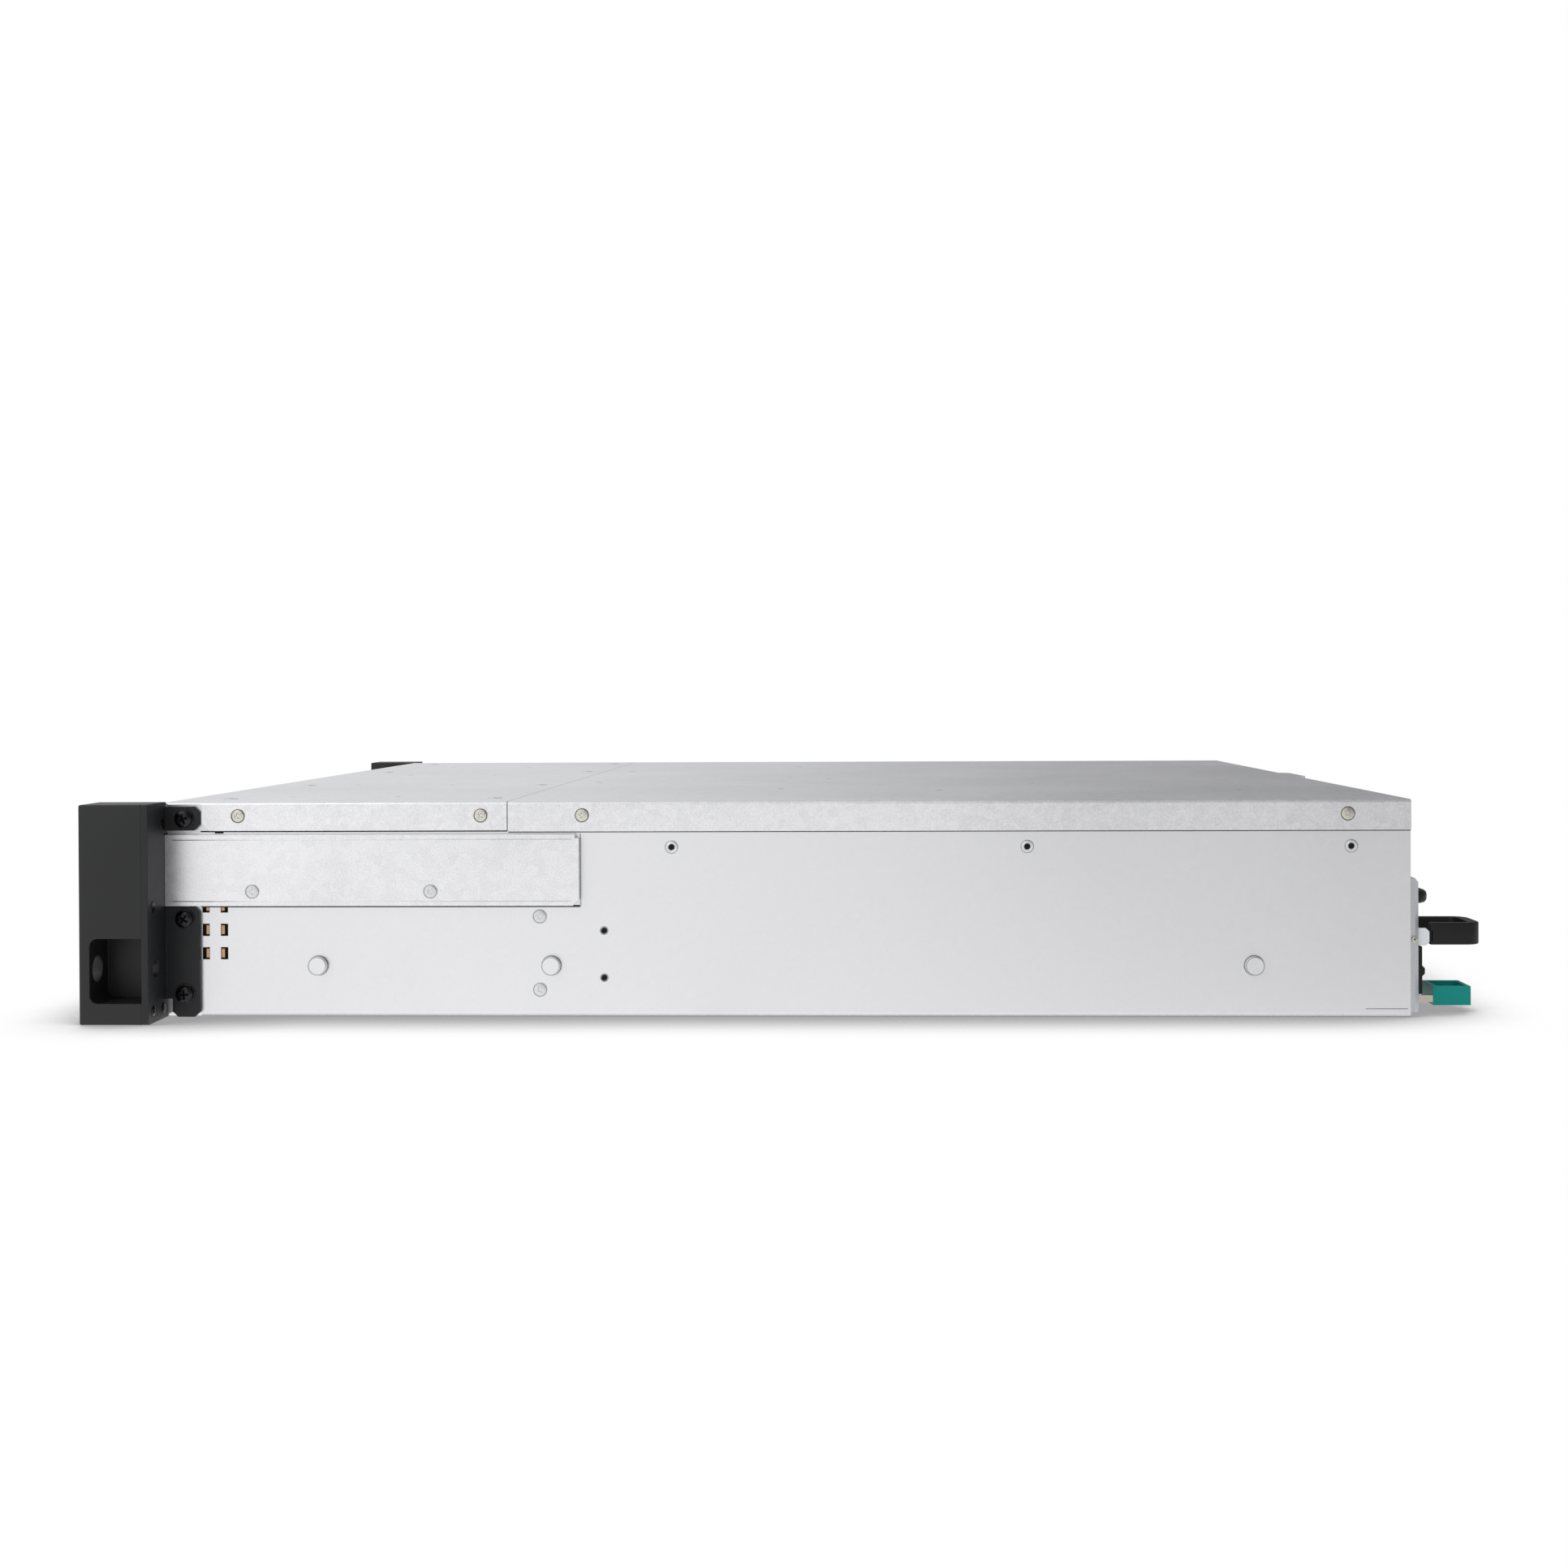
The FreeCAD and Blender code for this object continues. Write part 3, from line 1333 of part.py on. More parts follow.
def psu_handle(label, spot):
    """A loop with mitred outer corners; two tongues at its roots turn on the pins of the ears."""
    body = piece(label)
    place(body, spot)
    outer = [
        (GRIP_LEFT, "grip_start"),
        (GRIP_RIGHT, "grip_start"),
        (GRIP_RIGHT, "grip_end - grip_mitre"),
        (f"{GRIP_RIGHT} - grip_mitre", "grip_end"),
        (f"{GRIP_LEFT} + grip_mitre", "grip_end"),
        (GRIP_LEFT, "grip_end - grip_mitre"),
    ]
    add(body, "XY", [outer], "grip_low", "grip_low + grip_height")
    inner = [
        (f"{GRIP_LEFT} + grip_arm", "grip_start - overcut"),
        (f"{GRIP_RIGHT} - grip_arm", "grip_start - overcut"),
        (f"{GRIP_RIGHT} - grip_arm", "grip_end - grip_bar - grip_inner_mitre"),
        (f"{GRIP_RIGHT} - grip_arm - grip_inner_mitre", "grip_end - grip_bar"),
        (f"{GRIP_LEFT} + grip_arm + grip_inner_mitre", "grip_end - grip_bar"),
        (f"{GRIP_LEFT} + grip_arm", "grip_end - grip_bar - grip_inner_mitre"),
    ]
    cut(body, "XY", [inner], "grip_low - overcut", "grip_low + grip_height + overcut")
    reach = "(grip_tongue_height / 2)"
    tongue = [
        (f"grip_pivot_place - {reach} + grip_tongue_bevel", f"grip_pivot_height - {reach}"),
        ("grip_start + bite", f"grip_pivot_height - {reach}"),
        ("grip_start + bite", f"grip_pivot_height + {reach}"),
        (f"grip_pivot_place - {reach} + grip_tongue_bevel", f"grip_pivot_height + {reach}"),
        (f"grip_pivot_place - {reach}", f"grip_pivot_height + {reach} - grip_tongue_bevel"),
        (f"grip_pivot_place - {reach}", f"grip_pivot_height - {reach} + grip_tongue_bevel"),
    ]
    add(body, "YZ", [tongue], f"{GRIP_RIGHT} - grip_arm", GRIP_RIGHT)
    add(body, "YZ", [tongue], GRIP_LEFT, f"{GRIP_LEFT} + grip_arm")
    bore = Circle("grip_pivot_place", "grip_pivot_height", "grip_pin_radius + grip_pin_gap")
    cut(body, "YZ", [bore], f"{GRIP_LEFT} - overcut", f"{GRIP_RIGHT} + overcut")


def psu_inlet(label, spot):
    """A socket with a flange on the face of the supply and a hollow for the plug."""
    body = piece(label)
    place(body, spot)
    flange = centred("inlet_offset", "inlet_width", "inlet_low", "inlet_height")
    add(body, "XZ", [flange], PSU_FACE, f"{PSU_FACE} + inlet_flange")
    shroud = centred(
        "inlet_offset",
        "inlet_width - 2 * inlet_step",
        "inlet_low + inlet_step",
        "inlet_height - 2 * inlet_step",
    )
    add(body, "XZ", [shroud], f"{PSU_FACE} - inlet_depth", PSU_FACE)
    wide = "inlet_width / 2 - inlet_step - inlet_wall"
    low = "inlet_low + inlet_step + inlet_wall"
    high = "inlet_low + inlet_height - inlet_step - inlet_wall"
    hollow = [
        (f"inlet_offset - ({wide})", low),
        (f"inlet_offset + {wide}", low),
        (f"inlet_offset + {wide}", f"{high} - inlet_bevel"),
        (f"inlet_offset + {wide} - inlet_bevel", high),
        (f"inlet_offset - ({wide}) + inlet_bevel", high),
        (f"inlet_offset - ({wide})", f"{high} - inlet_bevel"),
    ]
    floor = f"{PSU_FACE} - inlet_depth + inlet_wall"
    cut(body, "XZ", [hollow], floor, f"{PSU_FACE} + inlet_flange + overcut")
    rear = f"({PSU_FACE} + inlet_flange)"
    boss = [
        (f"{rear} - bite", "inlet_boss_place - inlet_boss"),
        (rear, "inlet_boss_place - inlet_boss"),
        (f"{rear} + inlet_boss / 2", "inlet_boss_place - inlet_boss / 2"),
        (f"{rear} + inlet_boss / 2", "inlet_boss_place + inlet_boss / 2"),
        (rear, "inlet_boss_place + inlet_boss"),
        (f"{rear} - bite", "inlet_boss_place + inlet_boss"),
    ]
    right = "(inlet_offset + inlet_width / 2)"
    add(body, "YZ", [boss], f"{right} - inlet_wall", right)


def psu_latch(label, spot):
    """A steel leaf with a finger loop, open above and below."""
    body = piece(label)
    place(body, spot)
    left, right = "(leaf_offset - leaf_gauge / 2)", "(leaf_offset + leaf_gauge / 2)"
    leaf = box(left, right, "leaf_low", "leaf_low + leaf_height")
    add(body, "XZ", [leaf], "leaf_root", "loop_start + loop_wall")
    loop = box(f"{right} - loop_width", right, "loop_start", "loop_end")
    add(body, "XY", [loop], "loop_low", "loop_low + loop_height")
    inside = box(
        f"{right} - loop_width + loop_wall",
        f"{right} - loop_wall",
        "loop_start + loop_wall",
        "loop_end - loop_wall",
    )
    cut(body, "XY", [inside], "loop_low - overcut", "loop_low + loop_height + overcut")


def port_spots():
    """Middle and low edge of each port, with its width and height."""
    spots = [
        (f"(io_left + port_start + {number} * port_pitch + port_width / 2)", "port_width", "port_height")
        for number in range(PORTS)
    ]
    return spots + [("(io_left + jack_place)", "jack_width", "jack_height")]


IO_FACE = "(pan_length + io_plate)"


def io_module():
    """Closed canister with its face plate, the hollows of its ports and its plug tongue."""
    body = piece("io_module")
    canister = box(
        "io_left + io_lap",
        "io_left + io_width - io_lap",
        "psu_low",
        "psu_low + psu_height - io_lap",
    )
    add(body, "XZ", [canister], "psu_front", "pan_length")
    plate = box("io_left", "io_left + io_width", "psu_low", "psu_low + psu_height")
    add(body, "XZ", [plate], "pan_length", IO_FACE)
    tongue = centred(IO_MIDDLE, "tongue_width", "tongue_height", "tongue_gauge")
    add(body, "XZ", [tongue], "psu_front - tongue_length", "psu_front + bite")
    hollows = [
        centred(middle, f"{wide} + 2 * port_gap", "port_low - port_gap", f"{tall} + 2 * port_gap")
        for middle, wide, tall in port_spots()
    ]
    cut(body, "XZ", hollows, f"{IO_FACE} - port_depth", f"{IO_FACE} + overcut")


def io_ports():
    """Metal cages of the ports, each open to the rear."""
    body = piece("io_ports")
    cages = [centred(middle, wide, "port_low", tall) for middle, wide, tall in port_spots()]
    add(body, "XZ", cages, f"{IO_FACE} - port_depth", f"{IO_FACE} + port_proud")
    insides = [
        centred(middle, f"{wide} - 2 * port_wall", "port_low + port_wall", f"{tall} - 2 * port_wall")
        for middle, wide, tall in port_spots()
    ]
    cut(body, "XZ", insides, f"{IO_FACE} - port_depth + port_wall", f"{IO_FACE} + port_proud + overcut")


def io_handle():
    """A flat bow with rounded edges, its two legs fixed to the module's face plate."""
    body = piece("io_handle")
    left, right = "io_grip_left", "(io_grip_left + io_grip_width)"
    outer = [
        (left, IO_FACE),
        (right, IO_FACE),
        (right, "io_grip_end - io_grip_mitre"),
        (f"{right} - io_grip_mitre", "io_grip_end"),
        (f"{left} + io_grip_mitre", "io_grip_end"),
        (left, "io_grip_end - io_grip_mitre"),
    ]
    inner = [
        (f"{left} + io_grip_arm", f"{IO_FACE} - overcut"),
        (f"{right} - io_grip_arm", f"{IO_FACE} - overcut"),
        (f"{right} - io_grip_arm", "io_grip_end - io_grip_arm"),
        (f"{left} + io_grip_arm", "io_grip_end - io_grip_arm"),
    ]
    add(body, "XY", [outer], "io_grip_low", "io_grip_low + io_grip_height")
    bow = cut(body, "XY", [inner], "io_grip_low - overcut", "io_grip_low + io_grip_height + overcut")
    bevel_edges(
        body,
        bow,
        "io_grip_edge",
        lambda start, end: near(start.y, end.y) and near(start.y, value("io_grip_end")),
    )


def build():
    chassis_pan()
    rear_panel()
    front_top_cover()
    rear_top_cover()
    drive_cage()
    for column in range(COLUMNS):
        for row in range(ROWS):
            carrier_tray(column, row)
            carrier_lever(column, row)
    circuit_boards()
    board_connectors()
    fan_wall()
    fan_frames()
    for number in range(FANS):
        fan_rotor(number)
    mirrored_piece("ear_bracket_left", ear_bracket())
    controls_in_handle(ear_handle(1, "ear_handle_right"))
    ear_handle(-1, "ear_handle_left")
    power_button()
    indicator_lenses()
    mirrored_piece("cable_cover_left", cable_cover())
    rail_studs()
    press_nuts()
    emi_fingers()
    for hand, spot in (("right", "psu_place"), ("left", "-psu_place")):
        psu_case(f"psu_{hand}_case", spot)
        psu_handle(f"psu_{hand}_handle", spot)
        psu_inlet(f"psu_{hand}_inlet", spot)
        psu_latch(f"psu_{hand}_latch", spot)
    io_module()
    io_ports()
    io_handle()


def check():
    """Stop with the names of everything that failed, before any file is written."""
    doc.recompute()
    faults = [item.Label for item in doc.Objects if {"Invalid", "Error"} & set(item.State)]
    faults += [item.Label for item in pieces if item.Shape.isNull() or not item.Shape.isValid()]
    if faults:
        raise RuntimeError("failed: " + ", ".join(faults))


def export():
    os.makedirs("parts", exist_ok=True)
    for item in pieces:
        item.Shape.exportStep(f"parts/{item.Label}.step")


fill_sheet()
build()
check()
export()
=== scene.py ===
"""The looks of the disk shelf: finishes, small fasteners and trim, light, floor and camera.

Shapes are in millimetres in the shelf's frame until their mesh is made: X to the right seen from
the front, Y to the rear, Z up.
"""

import math
from collections import namedtuple

import bmesh
import bpy
from mathutils import Matrix, Vector

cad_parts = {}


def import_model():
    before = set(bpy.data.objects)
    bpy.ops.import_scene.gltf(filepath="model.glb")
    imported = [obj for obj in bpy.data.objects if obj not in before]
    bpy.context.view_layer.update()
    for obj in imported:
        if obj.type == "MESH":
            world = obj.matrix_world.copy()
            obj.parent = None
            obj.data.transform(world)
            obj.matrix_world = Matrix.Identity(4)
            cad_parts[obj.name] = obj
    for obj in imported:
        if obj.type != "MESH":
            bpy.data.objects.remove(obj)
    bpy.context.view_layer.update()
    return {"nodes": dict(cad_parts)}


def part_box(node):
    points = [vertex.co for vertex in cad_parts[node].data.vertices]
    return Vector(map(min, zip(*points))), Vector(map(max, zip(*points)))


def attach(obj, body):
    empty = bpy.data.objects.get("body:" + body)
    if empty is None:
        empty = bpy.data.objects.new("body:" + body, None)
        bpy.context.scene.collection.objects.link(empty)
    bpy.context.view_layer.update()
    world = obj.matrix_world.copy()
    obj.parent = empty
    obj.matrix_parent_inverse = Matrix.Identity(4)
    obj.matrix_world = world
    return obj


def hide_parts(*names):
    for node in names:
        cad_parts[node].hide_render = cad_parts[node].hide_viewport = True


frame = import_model()

MM = 0.001

# Sockets of the colour mix node, which share their names with others
MIX_A, MIX_B, MIX_RESULT = 6, 7, 2

# Points this close are one, and cutters reach this far past what they cut
NEAR = 1e-4
OVERCUT = 1.0


def node_box(name):
    """The lowest and highest corner of a node, in millimetres."""
    low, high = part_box(name)
    return low / MM, high / MM


PAN = node_box("chassis_pan")
FRONT_COVER = node_box("front_top_cover")
REAR_COVER = node_box("rear_top_cover")
CHANNEL = node_box("cable_cover_right")
FLANGE = node_box("ear_bracket_right")
HANDLE = node_box("ear_handle_right")

# The faces that the trim lies on
LEG_GAUGE = 2.0
SIDE = PAN[1].x
COVER_SIDE = REAR_COVER[1].x
CHANNEL_SIDE = CHANNEL[1].x
LEG_SIDE = SIDE + LEG_GAUGE
STUD_SIDE = node_box("rail_studs")[1].x
TOP = REAR_COVER[1].z
REAR = PAN[1].y
EAR_FRONT = HANDLE[0].y
LEG_REAR = FLANGE[1].y


# Directions and places


def facing(out, up):
    """The turn that brings a shape's own Z axis to out, and its own Y axis to up."""
    depth, height = Vector(out), Vector(up)
    return Matrix((height.cross(depth), height, depth)).transposed().to_4x4()


TO_RIGHT = facing((1, 0, 0), (0, 0, 1))
TO_LEFT = facing((-1, 0, 0), (0, 0, 1))
TO_REAR = facing((0, 1, 0), (0, 0, 1))
TO_FRONT = facing((0, -1, 0), (0, 0, 1))
TO_TOP = facing((0, 0, 1), (0, 1, 0))
TO_BOTTOM = facing((0, 0, -1), (0, 1, 0))
AS_DRAWN = Matrix.Identity(4)

# In a row, each screw is turned this much further than the last
RIGHT_SPIN, LEFT_SPIN = 37, 53


def at(turn, x, y, z, spin=0.0):
    """A place on a face: the shape looks out along turn, and is spun round its own axis."""
    return Matrix.Translation((x, y, z)) @ turn @ Matrix.Rotation(math.radians(spin), 4, "Z")


def both_sides(across, spots, spin=0.0):
    """The same spots, (y, z), on the right and left faces."""
    return [
        at(turn, side * across, y, z, spin + step * number)
        for turn, side, step in ((TO_RIGHT, 1, RIGHT_SPIN), (TO_LEFT, -1, LEFT_SPIN))
        for number, (y, z) in enumerate(spots)
    ]


def mirrored(across, y, z):
    """One spot on the right face and on the left, upright on both."""
    return [at(TO_RIGHT, across, y, z), at(TO_LEFT, -across, y, z)]


def middle_of(box):
    """The middle of a box given by its corners."""
    return (box[0] + box[1]) / 2


# Finishes


def shade(red, green, blue):
    """A colour given as it looks on a screen, 0 to 255, by the usual screen curve."""
    linear = [
        value / 255 / 12.92 if value <= 10 else ((value / 255 + 0.055) / 1.055) ** 2.4
        for value in (red, green, blue)
    ]
    return (*linear, 1.0)


def scaled(colour, gain, lift=0.0):
    """A colour made paler or deeper."""
    return (*(channel * gain + lift for channel in colour[:3]), 1.0)


class Graph:
    """The shader nodes of a material or a world."""

    def __init__(self, tree):
        self.tree = tree

    def node(self, kind, inputs=None, **settings):
        node = self.tree.nodes.new("ShaderNode" + kind)
        for name, setting in settings.items():
            setattr(node, name, setting)
        for socket, source in (inputs or {}).items():
            self.join(source, node.inputs[socket])
        return node

    def ramp(self, source, span, levels, kind="LINEAR"):
        """Levels that follow a value over its span."""
        inputs = dict(zip(("From Min", "From Max", "To Min", "To Max"), (*span, *levels)))
        inputs["Value"] = source
        return self.node("MapRange", inputs, interpolation_type=kind).outputs["Result"]

    def join(self, source, socket):
        if isinstance(source, bpy.types.NodeSocket):
            self.tree.links.new(source, socket)
        else:
            socket.default_value = source


class Finish(Graph):
    """A material with one Principled shader, and the nodes that vary it over the surface."""

    def __init__(self, name, metallic=0.0, roughness=0.5):
        self.material = bpy.data.materials.new(name)
        self.material.use_nodes = True
        super().__init__(self.material.node_tree)
        self.shader = self.tree.nodes["Principled BSDF"]
        self.set("Metallic", metallic)
        self.set("Roughness", roughness)
        self.place = self.node("TexCoord").outputs["Object"]

    def set(self, socket, source):
        self.join(source, self.shader.inputs[socket])

    def noise(self, scale, detail=2.0, stretch=(1, 1, 1)):
        """Clouds, about this many to the metre."""
        place = self.node("Mapping", {"Vector": self.place, "Scale": stretch})
        settings = {"Vector": place.outputs[0], "Scale": scale, "Detail": detail}
        return self.node("TexNoise", settings).outputs["Fac"]

    def flakes(self, scale):
        """Crystals, about this many to the metre, each with its own grey."""
        cells = self.node("TexVoronoi", {"Vector": self.place, "Scale": scale})
        return self.node("RGBToBW", {"Color": cells.outputs["Color"]}).outputs[0]

    def sum(self, *weighted):
        """The weighted sum of several values."""
        total = 0.0
        for source, weight in weighted:
            inputs = {0: source, 1: weight, 2: total}
            total = self.node("Math", inputs, operation="MULTIPLY_ADD").outputs[0]
        return total

    def spread(self, source, low, high, start=0.3, end=0.7):
        """Stretch the middle of a value's span to a wanted range."""
        return self.ramp(source, (start, end), (low, high))

    def mix(self, factor, first, second):
        inputs = {0: factor, MIX_A: first, MIX_B: second}
        return self.node("Mix", inputs, data_type="RGBA").outputs[MIX_RESULT]

    def along(self, axis):
        """The place along one axis, in metres."""
        return self.node("SeparateXYZ", {0: self.place}).outputs["XYZ".index(axis)]

    def beyond(self, axis, level):
        """One past a level in millimetres, and nought before it."""
        inputs = {0: self.along(axis), 1: level * MM}
        return self.node("Math", inputs, operation="GREATER_THAN").outputs[0]

    def roughen(self, source, roughness, less, more):
        """Roughness that follows a value, from less below a level to more above it."""
        self.set("Roughness", self.spread(source, roughness - less, roughness + more))

    def relief(self, height, strength, depth, edge=0.0):
        """Small bumps over rounded edges, depth and radius in millimetres."""
        inputs = {"Height": height, "Strength": strength, "Distance": depth * MM}
        if edge:
            inputs["Normal"] = self.node("Bevel", {"Radius": edge * MM}, samples=4).outputs[0]
        self.set("Normal", self.node("Bump", inputs).outputs[0])


ZINC_METALLIC = 0.86
CRYSTAL_SHARE = 0.12


def zinc(name, dark, light, grain, roughness):
    """Galvanised sheet: fine grain, faint crystals and broad soft clouds."""
    finish = Finish(name, metallic=ZINC_METALLIC)
    fine, crystals, clouds = finish.noise(1500, detail=3), finish.flakes(330), finish.noise(11)
    cloud_share = 1 - CRYSTAL_SHARE - grain
    tone = finish.sum((fine, grain), (crystals, CRYSTAL_SHARE), (clouds, cloud_share))
    paleness = finish.spread(tone, 0, 1, start=0.36, end=0.64)
    finish.set("Base Color", finish.mix(paleness, dark, light))
    finish.roughen(tone, roughness, less=0.05, more=0.07)
    finish.relief(fine, strength=0.25, depth=0.02, edge=0.25)
    return finish.material


def powder_coat(name, colour, roughness):
    """Matt paint with a fine sandy texture."""
    finish = Finish(name)
    finish.set("Specular IOR Level", 0.4)
    grains, worn = finish.noise(1900, detail=2), finish.noise(24, detail=4)
    paleness = finish.sum((grains, 0.5), (worn, 0.4))
    finish.set("Base Color", finish.mix(paleness, colour, scaled(colour, 1.35)))
    finish.roughen(worn, roughness, less=0.05, more=0.05)
    finish.relief(grains, strength=0.35, depth=0.03, edge=0.45)
    return finish.material


def plastic(name, colour, roughness, coat=0.0):
    """Moulded plastic with a fine etched skin."""
    finish = Finish(name)
    finish.set("Specular IOR Level", 0.3)
    skin, cloud = finish.noise(2600, detail=1), finish.noise(35, detail=3)
    finish.set("Base Color", finish.mix(cloud, colour, scaled(colour, 1.12, lift=0.002)))
    finish.roughen(cloud, roughness, less=0.04, more=0.05)
    finish.set("Coat Weight", coat)
    finish.relief(skin, strength=0.3, depth=0.015, edge=0.3)
    return finish.material


def metal(name, dark, light, roughness, stretch=(1, 1, 1)):
    """Bare or plated metal with fine rolling marks."""
    finish = Finish(name, metallic=1.0)
    marks = finish.noise(900, detail=3, stretch=stretch)
    finish.set("Base Color", finish.mix(finish.spread(marks, 0, 1), dark, light))
    finish.roughen(marks, roughness, less=0.06, more=0.08)
    finish.relief(marks, strength=0.12, depth=0.01, edge=0.15)
    return finish.material


def circuit_board(name):
    """Green solder mask over paler copper tracks."""
    finish = Finish(name, roughness=0.35)
    place = finish.node("Mapping", {"Vector": finish.place, "Rotation": (math.pi / 2, 0, 0)})
    bricks = finish.node(
        "TexBrick",
        {
            "Vector": place.outputs[0],
            "Color1": shade(16, 84, 52),
            "Color2": shade(20, 96, 60),
            "Mortar": shade(52, 132, 86),
            "Scale": 90.0,
            "Mortar Size": 0.02,
        },
    )
    cloud = finish.noise(60)
    finish.set("Base Color", finish.mix(cloud, bricks.outputs["Color"], shade(12, 72, 44)))
    finish.relief(bricks.outputs["Fac"], strength=0.3, depth=0.03)
    return finish.material


def lens(name, colour):
    """A small clear plastic window with colour in its depth."""
    finish = Finish(name, roughness=0.12)
    finish.set("Base Color", finish.mix(finish.noise(400), scaled(colour, 0.7), colour))
    finish.set("Coat Weight", 0.6)
    finish.set("Subsurface Weight", 0.2)
    finish.set("Subsurface Scale", 0.5 * MM)
    return finish.material


Zone = namedtuple("Zone", "colour metallic roughness")


def zoned(name, axis, level, before, after):
    """One part made of two materials that meet at a level along an axis."""
    finish = Finish(name)
    past = finish.beyond(axis, level)
    tone = finish.noise(1200, detail=3)
    colours = [
        finish.mix(finish.spread(tone, 0, 1), zone.colour, scaled(zone.colour, 1.12))
        for zone in (before, after)
    ]
    finish.set("Base Color", finish.mix(past, *colours))
    finish.set("Metallic", finish.spread(past, before.metallic, after.metallic, 0, 1))
    finish.set("Roughness", finish.spread(past, before.roughness, after.roughness, 0, 1))
    finish.set("Specular IOR Level", 0.3)
    finish.relief(tone, strength=0.15, depth=0.015, edge=0.25)
    return finish.material


# Where a supply's face and ears start, and where its latch's leaf becomes a loop
PSU_FACE = node_box("psu_right_inlet")[1].y - 3.5
PSU_EARS_START = PSU_FACE + 0.05
LOOP_START = 517.3

SHEET = zinc("zinc_sheet", shade(232, 232, 234), shade(238, 238, 240), 0.25, 0.33)
COVER = zinc("zinc_cover", shade(223, 223, 226), shade(247, 247, 249), 0.55, 0.33)
MODULE = zinc("module_steel", shade(202, 203, 207), shade(222, 223, 226), 0.3, 0.34)
EAR_BLACK = powder_coat("ear_coat", shade(27, 28, 30), 0.5)
HANDLE_BLACK = powder_coat("ear_handle_coat", shade(29, 30, 29), 0.48)
CARRIER_GREY = plastic("carrier_plastic", shade(46, 48, 51), 0.48)
LEVER_BLACK = plastic("lever_plastic", shade(30, 31, 33), 0.42)
TRIM_BLACK = plastic("trim_plastic", shade(20, 21, 22), 0.38)
GRIP_BLACK = plastic("grip_plastic", shade(22, 22, 22), 0.4)
INLET_BLACK = plastic("inlet_plastic", shade(20, 20, 21), 0.35)
CONNECTOR_BLACK = plastic("connector_plastic", shade(26, 26, 28), 0.45)
FAN_BLACK = plastic("fan_plastic", shade(30, 30, 32), 0.42)
BUTTON_WHITE = plastic("button_plastic", shade(226, 228, 228), 0.32, coat=0.2)
# Near-black painted shade, put in holes, cross recesses, gaps and behind slots where shade falls
PAINTED_SHADE_DEEP = plastic("painted_shade_deep", shade(8, 8, 9), 0.7)
BLACK_OXIDE = metal("black_screw_steel", shade(40, 40, 42), shade(60, 60, 62), 0.24)
NICKEL = metal("nickel_screw", shade(200, 197, 186), shade(226, 223, 213), 0.3)
ZINC_SCREW = metal("zinc_screw", shade(204, 205, 208), shade(228, 229, 231), 0.33)
COPPER = metal("copper_contact", shade(172, 136, 100), shade(204, 170, 132), 0.34, (1, 1, 4))
GOLD = metal("gold_contact", shade(226, 184, 96), shade(240, 206, 126), 0.25)
PORT_STEEL = metal("port_steel", shade(186, 187, 189), shade(214, 215, 217), 0.3, (1, 6, 1))
# Mid-grey painted shade in cross recesses, and under the rear cover's lip and the cable cover
PAINTED_SHADE_MID = metal("painted_shade_mid", shade(60, 59, 57), shade(84, 83, 80), 0.45)
# Faint painted shade in screw grooves, on rings round inserts, press nuts and studs, and along
# folds and low edges
PAINTED_SHADE_FAINT = metal("painted_shade_faint", shade(150, 151, 154), shade(172, 173, 176), 0.4)
BOARD_GREEN = circuit_board("board_mask")
LENS_GREEN = lens("lens_green", shade(116, 206, 130))
CASE_STEEL = Zone(shade(200, 201, 206), 0.85, 0.38)
EAR_WHITE = Zone(shade(246, 248, 249), 0.0, 0.35)
LEAF_STEEL = Zone(shade(196, 190, 176), 1.0, 0.3)
LOOP_TEAL = Zone(shade(1, 148, 138), 0.0, 0.4)
SUPPLY = zoned("supply_case", "Y", PSU_EARS_START, CASE_STEEL, EAR_WHITE)
LATCH = zoned("latch_teal", "Y", LOOP_START, LEAF_STEEL, LOOP_TEAL)

# The finish of each node, by its name or by how its name ends
FINISHES = (
    (SHEET, ("chassis_pan", "rear_panel", "drive_cage", "fan_wall", "rail_studs")),
    (COVER, ("top_cover", "cable_cover_right", "cable_cover_left")),
    (EAR_BLACK, ("ear_bracket_right", "ear_bracket_left")),
    (HANDLE_BLACK, ("ear_handle_right", "ear_handle_left")),
    (BUTTON_WHITE, ("power_button",)),
    (LENS_GREEN, ("indicator_lenses",)),
    (ZINC_SCREW, ("press_nuts",)),
    (COPPER, ("emi_fingers",)),
    (BOARD_GREEN, ("circuit_boards",)),
    (CONNECTOR_BLACK, ("board_connectors",)),
    (FAN_BLACK, ("fan_frames", "fan_rotor_1", "fan_rotor_2", "fan_rotor_3")),
    (CARRIER_GREY, ("_tray",)),
    (LEVER_BLACK, ("_lever",)),
    (SUPPLY, ("_case",)),
    (INLET_BLACK, ("_inlet",)),
    (LATCH, ("_latch",)),
    (MODULE, ("io_module",)),
    (PORT_STEEL, ("io_ports",)),
    (GRIP_BLACK, ("_handle",)),
)


def dress_nodes():
    for name, item in frame["nodes"].items():
        finish = next(finish for finish, endings in FINISHES if name.endswith(endings))
        for place in item.material_slots:
            place.material = finish


# Shapes


def new_object(name, data):
    item = bpy.data.objects.new(name, data)
    bpy.context.scene.collection.objects.link(item)
    return item


SMOOTH_ANGLE = math.radians(32)
SHARP_ANGLE = math.radians(40)
CROSS_TAPER = 0.55


def lathe(profile, steps=40):
    """A turned shape from its profile, (radius, height) pairs, round its own Z axis."""
    shape = bmesh.new()
    points = [shape.verts.new((radius, 0, height)) for radius, height in profile]
    edges = [shape.edges.new(pair) for pair in zip(points, points[1:])]
    whole_turn = {"cent": (0, 0, 0), "axis": (0, 0, 1), "angle": math.tau, "use_merge": True}
    bmesh.ops.spin(shape, geom=points + edges, steps=steps, **whole_turn)
    bmesh.ops.remove_doubles(shape, verts=shape.verts, dist=NEAR)
    bmesh.ops.recalc_face_normals(shape, faces=shape.faces)
    return shape


def disc(radius, low, high):
    return lathe([(0, low), (radius, low), (radius, high), (0, high)], 32)


